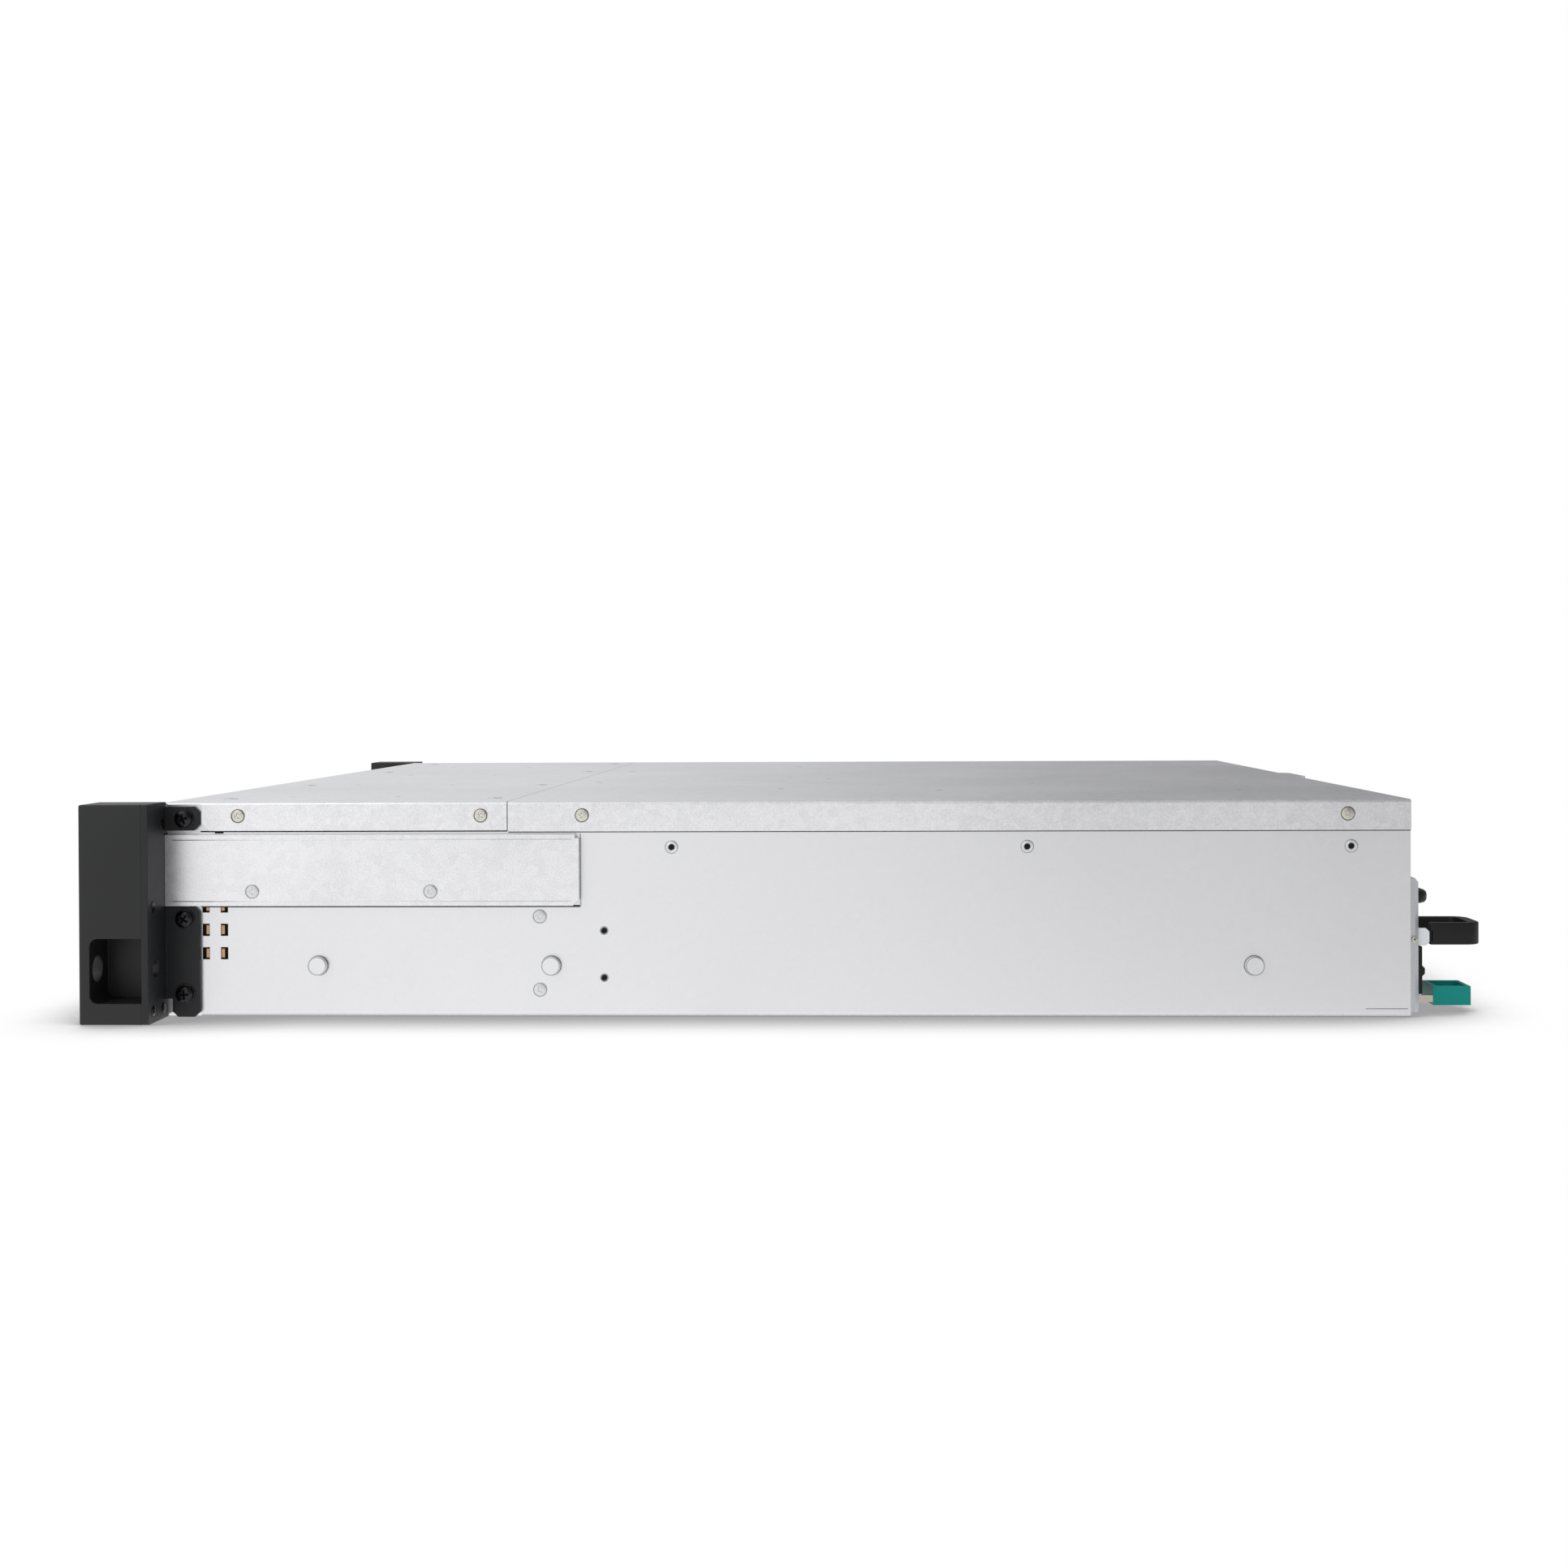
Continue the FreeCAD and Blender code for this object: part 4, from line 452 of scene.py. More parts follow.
def rounded(shape, edges, offset, segments):
    """The shape with these edges rounded off."""
    bmesh.ops.bevel(
        shape, geom=edges, offset=offset, segments=segments, affect="EDGES", profile=0.5
    )
    return shape


def thicken(shape, height):
    """Give a flat shape this height."""
    grown = bmesh.ops.extrude_face_region(shape, geom=shape.faces[:])["geom"]
    raised = [item for item in grown if isinstance(item, bmesh.types.BMVert)]
    bmesh.ops.translate(shape, verts=raised, vec=(0, 0, height))
    bmesh.ops.recalc_face_normals(shape, faces=shape.faces)


def slab(outline, low, high, edge=0.0):
    """A flat outline given thickness, with its upper edges rounded off."""
    shape = bmesh.new()
    shape.faces.new([shape.verts.new((x, y, low)) for x, y in outline])
    thicken(shape, high - low)
    if edge:
        rim = [item for item in shape.edges if all(end.co.z > high - NEAR for end in item.verts)]
        rounded(shape, rim, edge, segments=2)
    return shape


def around(middle, radius, angles):
    """Points round a middle."""
    return [(middle[0] + radius * math.cos(a), middle[1] + radius * math.sin(a)) for a in angles]


def regular(radius, sides, start=0.0, middle=(0.0, 0.0)):
    """The corners of a regular outline, or of a circle."""
    angles = [start + math.tau * number / sides for number in range(sides)]
    return around(middle, radius, angles)


def corner(middle, radius, start, steps=8):
    """A quarter turn from an angle in degrees, clockwise for a radius below nought."""
    way = -1 if radius < 0 else 1
    angles = [math.radians(start + way * 90 * step / steps) for step in range(steps + 1)]
    return around(middle, abs(radius), angles)


def rectangle(width, height, radius=0.0):
    """A centred rectangle, with rounded corners where asked."""
    if not radius:
        return [(x * width / 2, y * height / 2) for x, y in ((-1, -1), (1, -1), (1, 1), (-1, 1))]
    points = []
    for quarter, (x, y) in enumerate(((1, 1), (-1, 1), (-1, -1), (1, -1))):
        middle = (x * (width / 2 - radius), y * (height / 2 - radius))
        points += corner(middle, radius, 90 * quarter, steps=3)
    return points


def mesh_of(shape, name="loose"):
    mesh = bpy.data.meshes.new(name)
    shape.to_mesh(mesh)
    shape.free()
    return mesh


def add_to(whole, shape, place):
    mesh = bpy.data.meshes.new("loose")
    shape.to_mesh(mesh)
    mesh.transform(place)
    whole.from_mesh(mesh)
    bpy.data.meshes.remove(mesh)


def joined(*shapes):
    """Several shapes in one."""
    whole = bmesh.new()
    for shape in shapes:
        add_to(whole, shape, AS_DRAWN)
    return whole


def moved(shape, x=0.0, y=0.0, z=0.0):
    bmesh.ops.translate(shape, verts=shape.verts, vec=(x, y, z))
    return shape


def turned(shape, turn):
    bmesh.ops.transform(shape, matrix=turn, verts=shape.verts)
    return shape


def comb(size, low, high, count, pitch, rises):
    """Equal bars in a centred row, at one level or more."""
    bars = [
        moved(slab(rectangle(*size), low, high), x=(number - (count - 1) / 2) * pitch, y=rise)
        for number in range(count)
        for rise in rises
    ]
    return joined(*bars)


def rounded_off(shape, offset, chosen=lambda edge: True):
    """The shape with its sharp edges, or those chosen, rounded off."""
    sharp = [
        edge
        for edge in shape.edges
        if edge.is_manifold and edge.calc_face_angle() > SHARP_ANGLE and chosen(edge)
    ]
    return rounded(shape, sharp, offset, segments=3)


def minus(shape, cutter):
    """The first shape with the second cut out of it."""
    items = [new_object("loose", mesh_of(part)) for part in (shape, cutter)]
    step = items[0].modifiers.new("cut", "BOOLEAN")
    step.operation, step.object, step.solver = "DIFFERENCE", items[1], "EXACT"
    bpy.context.view_layer.update()
    result = bmesh.new()
    result.from_object(items[0], bpy.context.evaluated_depsgraph_get())
    for item in items:
        mesh = item.data
        bpy.data.objects.remove(item)
        bpy.data.meshes.remove(mesh)
    return result


def crossed(shape, reach, width, top, depth):
    """The shape with a tapered cross recess in its top."""
    half = width / 2
    quarter = [(reach, -half), (reach, half), (half, half)]
    outline = []
    for turn in range(4):
        spin = Matrix.Rotation(turn * math.pi / 2, 2)
        outline += [tuple(spin @ Vector(point)) for point in quarter]
    cutter = slab(outline, top - depth, top + OVERCUT)
    for vertex in cutter.verts:
        if vertex.co.z < top:
            vertex.co.xy *= CROSS_TAPER
    result = minus(shape, cutter)
    # Faces inside the recess take material index 1, for painted shade
    for face in result.faces:
        middle = face.calc_center_median()
        if middle.z < top - 0.02 and middle.xy.length < reach and face.normal.z > -0.5:
            face.material_index = 1
    return result


def honeycomb(size, pitch, web, gauge):
    """A centred sheet of six-sided holes that covers at least this size."""
    width, height = size
    shape = bmesh.new()
    outer, inner = pitch / math.sqrt(3), (pitch - web) / math.sqrt(3)
    rise = pitch * math.sqrt(3) / 2
    rows, columns = math.ceil(height / 2 / rise), math.ceil(width / 2 / pitch)
    for row in range(-rows, rows + 1):
        for column in range(-columns, columns + 1):
            x, y = (column + (row % 2) / 2) * pitch, row * rise
            if abs(x) > width / 2 + inner / 2 or abs(y) > height / 2 + inner / 2:
                continue
            rim, hole = (
                [shape.verts.new((*spot, 0)) for spot in regular(radius, 6, math.pi / 6, (x, y))]
                for radius in (outer, inner)
            )
            for side in range(6):
                after = (side + 1) % 6
                shape.faces.new((rim[side], rim[after], hole[after], hole[side]))
    bmesh.ops.remove_doubles(shape, verts=shape.verts, dist=pitch * 1e-3)
    thicken(shape, gauge)
    return shape


def piece(name, shape, places, finish, body="chassis", inner=None):
    """Copies of one shape at several places, as one piece that rides on a body.

    Faces with material index 1, such as those of a cross recess or a screw's groove, take the inner
    finish, a darker colour painted as the shade in them.
    """
    whole = bmesh.new()
    for place in places:
        add_to(whole, shape, place)
    shape.free()
    bmesh.ops.scale(whole, vec=(MM, MM, MM), verts=whole.verts)
    mesh = mesh_of(whole, name)
    mesh.materials.append(finish)
    if inner:
        mesh.materials.append(inner)
    mesh.shade_smooth()
    mesh.set_sharp_from_angle(angle=SMOOTH_ANGLE)
    item = new_object(name, mesh)
    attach(item, body)
    return item


# Fasteners

# A flat screw's dimple: how far its groove and rim pass the screw, and its levels
GROOVE_MARGIN, RIM_MARGIN = 0.3, 0.5
DIMPLE_ROOT, GROOVE_LEVEL, RIM_LEVEL = -0.2, 0.03, 0.08
FLAT_DEPTH = 0.22

# A pan screw's parts, as shares of its height or its radius
WASHER_SHARE, WALL_SHARE, DOME_SHARE = 0.2, 0.25, 0.55
HEAD_SHARE, CROWN, SHOULDER = 0.86, 0.52, 0.48
PAN_DEPTH = 0.72
DOME_STEPS = 8

# Reach and width of the cross recesses, as shares of the screw's radius
FLAT_CROSS, PAN_CROSS = (0.62, 0.3), (0.55, 0.24)


def flat_screw(radius, proud):
    """A countersunk screw in its dimple: a rim, a groove and a cross recess."""
    groove, rim = radius + GROOVE_MARGIN, radius + RIM_MARGIN
    profile = [(0, DIMPLE_ROOT), (rim, DIMPLE_ROOT), (rim, 0.02), (rim - 0.08, RIM_LEVEL)]
    profile += [(groove, RIM_LEVEL), (groove, GROOVE_LEVEL), (radius, GROOVE_LEVEL)]
    profile += [(radius - 0.02, proud * 0.7), (radius - 0.22, proud), (0, proud)]
    reach, width = (radius * share for share in FLAT_CROSS)
    shape = crossed(lathe(profile), reach, width, proud, FLAT_DEPTH + proud)
    # The groove's floor takes material index 1 too, for painted shade in the groove
    for face in shape.faces:
        middle = face.calc_center_median()
        if abs(middle.z - GROOVE_LEVEL) < 0.01 and middle.xy.length > radius - 0.01:
            face.material_index = 1
    return shape


def pan_screw(radius, height):
    """A domed screw on a captive washer, with a deep cross recess."""
    washer, wall, dome = (share * height for share in (WASHER_SHARE, WALL_SHARE, DOME_SHARE))
    head = radius * HEAD_SHARE
    profile = [(0, 0), (radius, 0), (radius, washer * 0.7), (radius - 0.15, washer), (head, washer)]
    for step in range(DOME_STEPS + 1):
        angle = math.pi / 2 * step / DOME_STEPS
        across = head * (CROWN + SHOULDER * math.cos(angle))
        profile.append(
            (across if step < DOME_STEPS else 0, washer + wall + dome * math.sin(angle))
        )
    reach, width = (radius * share for share in PAN_CROSS)
    return crossed(lathe(profile), reach, width, height, height * PAN_DEPTH)


# Places on the sides, (y, z), read from the photograph
EAR_SPOTS = ((7.8, 81.0), (7.8, 40.1), (7.8, 9.4))
COVER_SPOTS = ((29.6, 82.1), (129.5, 82.1), (171.0, 82.1), (480.1, 82.1))
CHANNEL_SPOTS = ((36.1, 51.4), (109.3, 51.4))
PAN_SPOTS = ((153.4, 10.9), (153.4, 40.8))
INSERT_SPOTS = ((207.4, 69.0), (351.7, 69.0), (481.7, 69.0))
NUT_HOLE_SPOTS = ((179.7, 35.0), (179.7, 15.8))
STUD_SPOTS = ((62.3, 20.8), (158.1, 20.8), (442.7, 20.8))

# Places on the rear of the right flange, (x, z)
FLANGE_SPOTS = ((235.4, 46.6), (235.4, 4.8), (224.0, 79.2), (224.0, 4.2))

# Screws, as radius and height over the sheet
EAR_SCREW = (4.1, 2.4)
COVER_SCREW = (2.5, 0.3)
PAN_SCREW = (2.5, 0.22)
FLANGE_SCREW = (2.1, 0.2)
TOP_SCREW = (2.6, 0.16)
PANEL_SCREW = (1.9, 0.2)
FLANK_SCREW = (1.5, 1.1)
FACE_SCREW = (1.6, 0.2)


def side_fasteners():
    ears = both_sides(LEG_SIDE, EAR_SPOTS, spin=20)
    covers = both_sides(COVER_SIDE, COVER_SPOTS, spin=12)
    channels = both_sides(CHANNEL_SIDE, CHANNEL_SPOTS, spin=8)
    pans = both_sides(SIDE, PAN_SPOTS, spin=40)
    flanges = [
        at(TO_REAR, side * x, 0, z, 30 * number)
        for side in (1, -1)
        for number, (x, z) in enumerate(FLANGE_SPOTS)
    ]
    # The last column is the painted shade in the cross recesses and grooves
    for name, head, spots, finish, inner in (
        ("ear_screws", pan_screw(*EAR_SCREW), ears, BLACK_OXIDE, PAINTED_SHADE_DEEP),
        ("cover_screws", flat_screw(*COVER_SCREW), covers, NICKEL, PAINTED_SHADE_MID),
        ("cable_cover_screws", flat_screw(*PAN_SCREW), channels, ZINC_SCREW, PAINTED_SHADE_FAINT),
        ("pan_side_screws", flat_screw(*PAN_SCREW), pans, ZINC_SCREW, PAINTED_SHADE_FAINT),
        ("flange_screws", flat_screw(*FLANGE_SCREW), flanges, BLACK_OXIDE, PAINTED_SHADE_DEEP),
    ):
        piece(name, head, spots, finish, inner=inner)


# Round rings, as outer radius, hole radius and height over the sheet
INSERT_RIM = (2.4, 1.45, 0.16)
INSERT_SHADE_RING = (2.7, 2.35, 0.06)
INSERT_COLLAR = (1.75, 1.2, 0.26)
PRESS_NUT_RIM = (1.75, 1.26, 0.1)
STUD_COLLAR = (4.2, 3.86, 0.12)
STUD_RIM = (3.72, 3.42, 0.03)
BUTTON_RING = (5.4, 4.55, 0.18)
RING_ROOT = -0.15
RING_SOFTNESS = 0.18

# Painted shade on the floors of round holes, as radius and levels
INSERT_FLOOR = (1.3, -0.1, 0.05)
PRESS_NUT_FLOOR = (1.15, -0.5, -0.3)


def round_ring(outer, hole, height):
    """A low flat ring with softened edges."""
    soft = min(RING_SOFTNESS, (outer - hole) / 3)
    profile = [(hole, RING_ROOT), (outer, RING_ROOT), (outer, height * 0.4)]
    profile += [(outer - soft, height), (hole + soft, height), (hole, height * 0.3)]
    return lathe(profile + profile[:1])


def side_inserts():
    """Threaded inserts, rings of painted shade round them, round press nuts and on studs, and
    painted shade in the holes.
    """
    spots = both_sides(SIDE, INSERT_SPOTS)
    piece("insert_rims", round_ring(*INSERT_RIM), spots, COVER)
    piece("insert_shade_rings", round_ring(*INSERT_SHADE_RING), spots, PAINTED_SHADE_FAINT)
    piece("insert_collars", round_ring(*INSERT_COLLAR), spots, ZINC_SCREW)
    piece("insert_hole_shades", disc(*INSERT_FLOOR), spots, PAINTED_SHADE_DEEP)
    nuts = both_sides(SIDE, NUT_HOLE_SPOTS)
    piece("press_nut_rims", round_ring(*PRESS_NUT_RIM), nuts, PAINTED_SHADE_FAINT)
    piece("press_nut_hole_shades", disc(*PRESS_NUT_FLOOR), nuts, PAINTED_SHADE_DEEP)
    studs = both_sides(SIDE, STUD_SPOTS)
    piece("stud_collars", round_ring(*STUD_COLLAR), studs, PAINTED_SHADE_FAINT)
    tops = both_sides(STUD_SIDE, STUD_SPOTS)
    piece("stud_rims", round_ring(*STUD_RIM), tops, PAINTED_SHADE_FAINT)


# Sheet metal trim

RIDGE_WIDTH = 0.35
FOLD_MARGIN, FOLD_OVER_LOW, FOLD_UNDER_HIGH, FOLD_HEIGHT = 3.0, 1.9, 2.1, 0.02
PAN_SEAM_MIDDLE, PAN_SEAM_LENGTH, PAN_SEAM_HEIGHT = (495.7, 3.4), 16.8, 0.05
RELIEF_SPOT, RELIEF_SIZE, RELIEF_HEIGHT = (21.5, 75.3), (3.6, 0.8), 0.04
MARK_ROOT, SHADE_LINE_HEIGHT = -0.1, 0.05

# Widths of the lines of painted shade beside the covers
FRONT_LINE, REAR_LINE, CHANNEL_LINE, END_LINE = 0.55, 0.45, 0.9, 0.4
END_DROP = 0.45
COVER_GAUGE, COVER_GAP_DEPTH = 1.0, 0.3
PAN_EDGE_SHADE = (0.15, 0.5)
SLOT_SHADE, SLOT_SHADE_DEPTH = (12.5, 25.5, 23.0, 48.0), 1.75


def ridge(length, height):
    """A very low rounded line, as a fold leaves beside a bend."""
    return slab(rectangle(length, RIDGE_WIDTH), -0.05, height, edge=height * 0.6)


def shade_line(name, start, end, low, high, finish, across=SIDE):
    """A thin strip of painted shade between two sheets on both sides, from y and z levels."""
    spots = mirrored(across, (start + end) / 2, (low + high) / 2)
    line = slab(rectangle(end - start, high - low), MARK_ROOT, SHADE_LINE_HEIGHT)
    piece(name, line, spots, finish)


def side_trim():
    """Folds, seams, and strips of painted shade between the sheets and behind the slots on both
    sides.
    """
    start, end = CHANNEL[0].y, CHANNEL[1].y
    low, high = CHANNEL[0].z, CHANNEL[1].z
    folds = mirrored(CHANNEL_SIDE, (start + end) / 2, low + FOLD_OVER_LOW)
    folds += mirrored(CHANNEL_SIDE, (start + end) / 2, high - FOLD_UNDER_HIGH)
    fold = ridge(end - start - 2 * FOLD_MARGIN, FOLD_HEIGHT)
    piece("cable_cover_folds", fold, folds, COVER)
    # A low ridge near the pan's rear foot, coloured with the faint painted shade
    spots = mirrored(SIDE, *PAN_SEAM_MIDDLE)
    line = ridge(PAN_SEAM_LENGTH, PAN_SEAM_HEIGHT)
    piece("pan_seams", line, spots, PAINTED_SHADE_FAINT)
    # A dark patch of painted shade in the pan's relief cut under the front cover's lip
    relief = slab(rectangle(*RELIEF_SIZE), MARK_ROOT, RELIEF_HEIGHT)
    piece("pan_relief_shades", relief, mirrored(SIDE, *RELIEF_SPOT), PAINTED_SHADE_DEEP)

    # Strips of painted shade where shade falls: under the cover lips, in the gap between the
    # covers, below and behind the cable cover, along the pan's low edge and behind the slots
    front_end, rear_start = FRONT_COVER[1].y, REAR_COVER[0].y
    front_lip, rear_lip = FRONT_COVER[0].z, REAR_COVER[0].z
    shade_line("front_lip_shade_lines", LEG_REAR, front_end, front_lip - FRONT_LINE, front_lip, PAINTED_SHADE_DEEP)
    shade_line("rear_lip_shade_lines", rear_start, REAR, rear_lip - REAR_LINE, rear_lip, PAINTED_SHADE_MID)
    gap_top, gap_side = TOP - COVER_GAUGE, COVER_SIDE - COVER_GAP_DEPTH
    shade_line("cover_gap", front_end, rear_start, front_lip, gap_top, PAINTED_SHADE_DEEP, gap_side)
    shade_line("cable_cover_low_shade_lines", LEG_REAR, end, low - CHANNEL_LINE, low, PAINTED_SHADE_MID)
    end_line = end + END_LINE
    shade_line("cable_cover_end_shade_lines", end, end_line, low - END_DROP, high, PAINTED_SHADE_FAINT)
    shade_line("pan_low_edge_shades", LEG_REAR, REAR, *PAN_EDGE_SHADE, PAINTED_SHADE_FAINT)
    shade_line("slot_shades", *SLOT_SHADE, PAINTED_SHADE_DEEP, SIDE - SLOT_SHADE_DEPTH)


# Places on the covers and under the floor
TOP_SCREW_COLUMNS = (-193.0, -77.0, 77.0, 193.0)
TOP_SCREW_ROWS = (18.2, 130.5)
BAY_COLUMNS = (-162.0, -54.0, 54.0, 162.0)
DIMPLE_OFFSET = 19.0
DIMPLE_ROWS = (39.5, 85.0)
TOP_RIVET_ROWS = (
    (155.0, (54.0, -79.0)),
    (247.0, (121.0, 8.0, -138.0)),
    (267.0, (21.0,)),
    (319.0, (138.0,)),
    (365.0, (77.0,)),
    (450.0, (146.0,)),
    (492.0, (130.0, -130.0)),
)
UNDERSIDE_COLUMNS = (-210.0, -108.0, 0.0, 108.0, 210.0)
UNDERSIDE_ROWS = (20.0, 132.0, 186.0)

TOP_MARK_SIZE = (2.2, 4.6, 1.0)

# Profiles, (radius, height)
TOP_RIVET = ((0, -0.05), (1.7, -0.05), (1.7, 0.05), (1.35, 0.14), (0.6, 0.1), (0, 0.1))
UNDERSIDE_RIVET = (
    (0, -0.3), (2.2, -0.3), (2.2, -0.06), (1.9, -0.02), (1.0, -0.02), (0.8, -0.12), (0, -0.12)
)


def top_marks():
    """Flush screws, flattened rivets and short pressed marks on the covers."""
    screws = [
        at(TO_TOP, x, y, TOP, 31 * number)
        for number, x in enumerate(TOP_SCREW_COLUMNS)
        for y in TOP_SCREW_ROWS
    ]
    piece("top_screws", flat_screw(*TOP_SCREW), screws, ZINC_SCREW, inner=PAINTED_SHADE_MID)
    dimples = [at(TO_TOP, x + DIMPLE_OFFSET, y, TOP) for x in BAY_COLUMNS for y in DIMPLE_ROWS]
    mark = slab(rectangle(*TOP_MARK_SIZE), -0.05, 0.09, edge=0.05)
    piece("top_marks", mark, dimples, SHEET)
    spots = [at(TO_TOP, x, y, TOP) for y, columns in TOP_RIVET_ROWS for x in columns]
    piece("top_rivets", lathe(TOP_RIVET, 28), spots, ZINC_SCREW)


def underside_rivets():
    """Flush rivets that hold the drive cage and the fan wall to the floor."""
    spots = [at(TO_BOTTOM, x, y, 0) for x in UNDERSIDE_COLUMNS for y in UNDERSIDE_ROWS]
    rivet = lathe(UNDERSIDE_RIVET, 28)
    piece("underside_rivets", rivet, spots, ZINC_SCREW)


# Carriers

WINDOW_SIZE, WINDOW_OFFSET = (52.0, 15.4), 12.0
MESH_PITCH, MESH_WEB, MESH_GAUGE, MESH_PLACE = 3.6, 0.7, 0.8, -1.6
CARRIER_LIGHT = ((0, -0.3), (1.0, -0.3), (1.0, 0.1), (0.75, 0.24), (0, 0.3))
LIGHT_MARGIN, LIGHT_STEP = 3.1, 3.2
CATCH_SIZE, CATCH_HEIGHT = (8.2, 11.2, 0.8), 1.6
CATCH_MARGIN, CATCH_DEPTH = 6.5, 2.2
CATCH_RIDGE_SIZE, CATCH_RIDGE_ENDS = (5.4, 0.8), (1.5, 2.1)
CATCH_RIDGE_LEVELS = (-2.2, 0, 2.2)


def carriers():
    trays = [name for name in frame["nodes"] if name.endswith("_tray")]
    for name in sorted(trays):
        carrier_trim(name.removesuffix("_tray"))


def carrier_trim(name):
    """Vent mesh and status lights of one carrier, and the catch on its lever."""
    tray, lever = node_box(name + "_tray"), node_box(name + "_lever")
    height = middle_of(lever).z
    mesh = honeycomb(WINDOW_SIZE, MESH_PITCH, MESH_WEB, MESH_GAUGE)
    window = [at(TO_FRONT, middle_of(tray).x - WINDOW_OFFSET, MESH_PLACE, height)]
    piece(name + "_mesh", mesh, window, TRIM_BLACK, name)
    lights = [
        at(TO_FRONT, tray[1].x - LIGHT_MARGIN, tray[0].y, height + step)
        for step in (-LIGHT_STEP, LIGHT_STEP)
    ]
    piece(name + "_lights", lathe(CARRIER_LIGHT, 24), lights, LENS_GREEN, name)
    button = slab(rectangle(*CATCH_SIZE), 0, CATCH_HEIGHT, edge=0.4)
    ridges = [
        moved(slab(rectangle(*CATCH_RIDGE_SIZE), *CATCH_RIDGE_ENDS, edge=0.25), y=level)
        for level in CATCH_RIDGE_LEVELS
    ]
    place = [at(TO_FRONT, lever[1].x - CATCH_MARGIN, lever[0].y + CATCH_DEPTH, height)]
    body = name.replace("carrier", "lever")
    piece(name + "_catch", joined(button, *ridges), place, CARRIER_GREY, body)


# Handles and ears


def bow(box, arm, bar, outer, inner, soft):
    """A bow that opens to the front, from its box, the widths of its limbs and its radii."""
    low, high = box
    start, end = low.y, high.y
    left, right = low.x, high.x
    outline = [(right, start)] + corner((right - outer, end - outer), outer, 0)
    outline += corner((left + outer, end - outer), outer, 90) + [(left, start), (left + arm, start)]
    inside = end - bar - inner
    outline += corner((left + arm + inner, inside), -inner, 180)
    outline += corner((right - arm - inner, inside), -inner, 90) + [(right - arm, start)]
    return rounded_off(slab(outline, low.z, high.z), soft)


# The supply's handle: its start and its pin, (y, z)
GRIP_ROOT = 515.4
GRIP_PIN = (512.3, 31.5)
GRIP_ARM = 3.0
TONGUE_REACH, TONGUE_OVERLAP = 2.2, 1.0
PIN_BORE = 1.06


def supply_handle(hand):
    """The pull handle of a supply: a bow whose two tongues turn on pins."""
    node = f"psu_{hand}_handle"
    low, high = node_box(node)
    front = Vector((low.x, GRIP_ROOT, low.z))
    loop = bow((front, high), arm=GRIP_ARM, bar=4.0, outer=6.0, inner=4.2, soft=0.6)
    back = GRIP_ROOT + TONGUE_OVERLAP
    outline = [(back, GRIP_PIN[1] - TONGUE_REACH), (back, GRIP_PIN[1] + TONGUE_REACH)]
    outline += corner(GRIP_PIN, TONGUE_REACH, 90) + corner(GRIP_PIN, TONGUE_REACH, 180)
    tongues = []
    for inside in (low.x, high.x - GRIP_ARM):
        tongue = slab(outline, inside, inside + GRIP_ARM)
        bore = slab(regular(PIN_BORE, 32, middle=GRIP_PIN), low.x - OVERCUT, high.x + OVERCUT)
        tongues.append(turned(minus(tongue, bore), TO_RIGHT))
    shape = joined(loop, *tongues)
    item = piece(node + "_grip", shape, [AS_DRAWN], GRIP_BLACK, node)
    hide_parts(node)


def module_handle():
    """The fixed bow of the module, round all over."""
    shape = bow(node_box("io_handle"), arm=8.0, bar=8.0, outer=7.0, inner=3.0, soft=2.2)
    item = piece("io_handle_bow", shape, [AS_DRAWN], GRIP_BLACK, "io")
    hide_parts("io_handle")


# The finger recess of the right ear
RECESS_LOW, RECESS_HIGH = 8.5, 34.5
RECESS_FRONT = -23.7
RECESS_INSIDE = 222.0
RECESS_CORNER = 3.2
EAR_EDGE = 0.7

# Bores of the right ear: middle (x, z), radius and the depth of the floor
DRIVER_HOLE, DRIVER_RADIUS = (232.55, 21.5), 5.35
BUTTON_HOLE, BUTTON_RADIUS, BUTTON_FLOOR = (230.0, 66.0), 4.5, 22.3
LENS_COLUMN, LENS_LOWS, LENS_FLOOR = 230.0, (41.0, 46.5, 52.0, 57.5), 26.8
LENS_SIZE = (3.0, 2.0)
BORE_SIDES = 48


def cut_from_front(block, outline, inside):
    """The ear's block with an outline, (x, z), cut into its front face."""
    return minus(block, turned(slab(outline, inside, OVERCUT - EAR_FRONT), TO_FRONT))


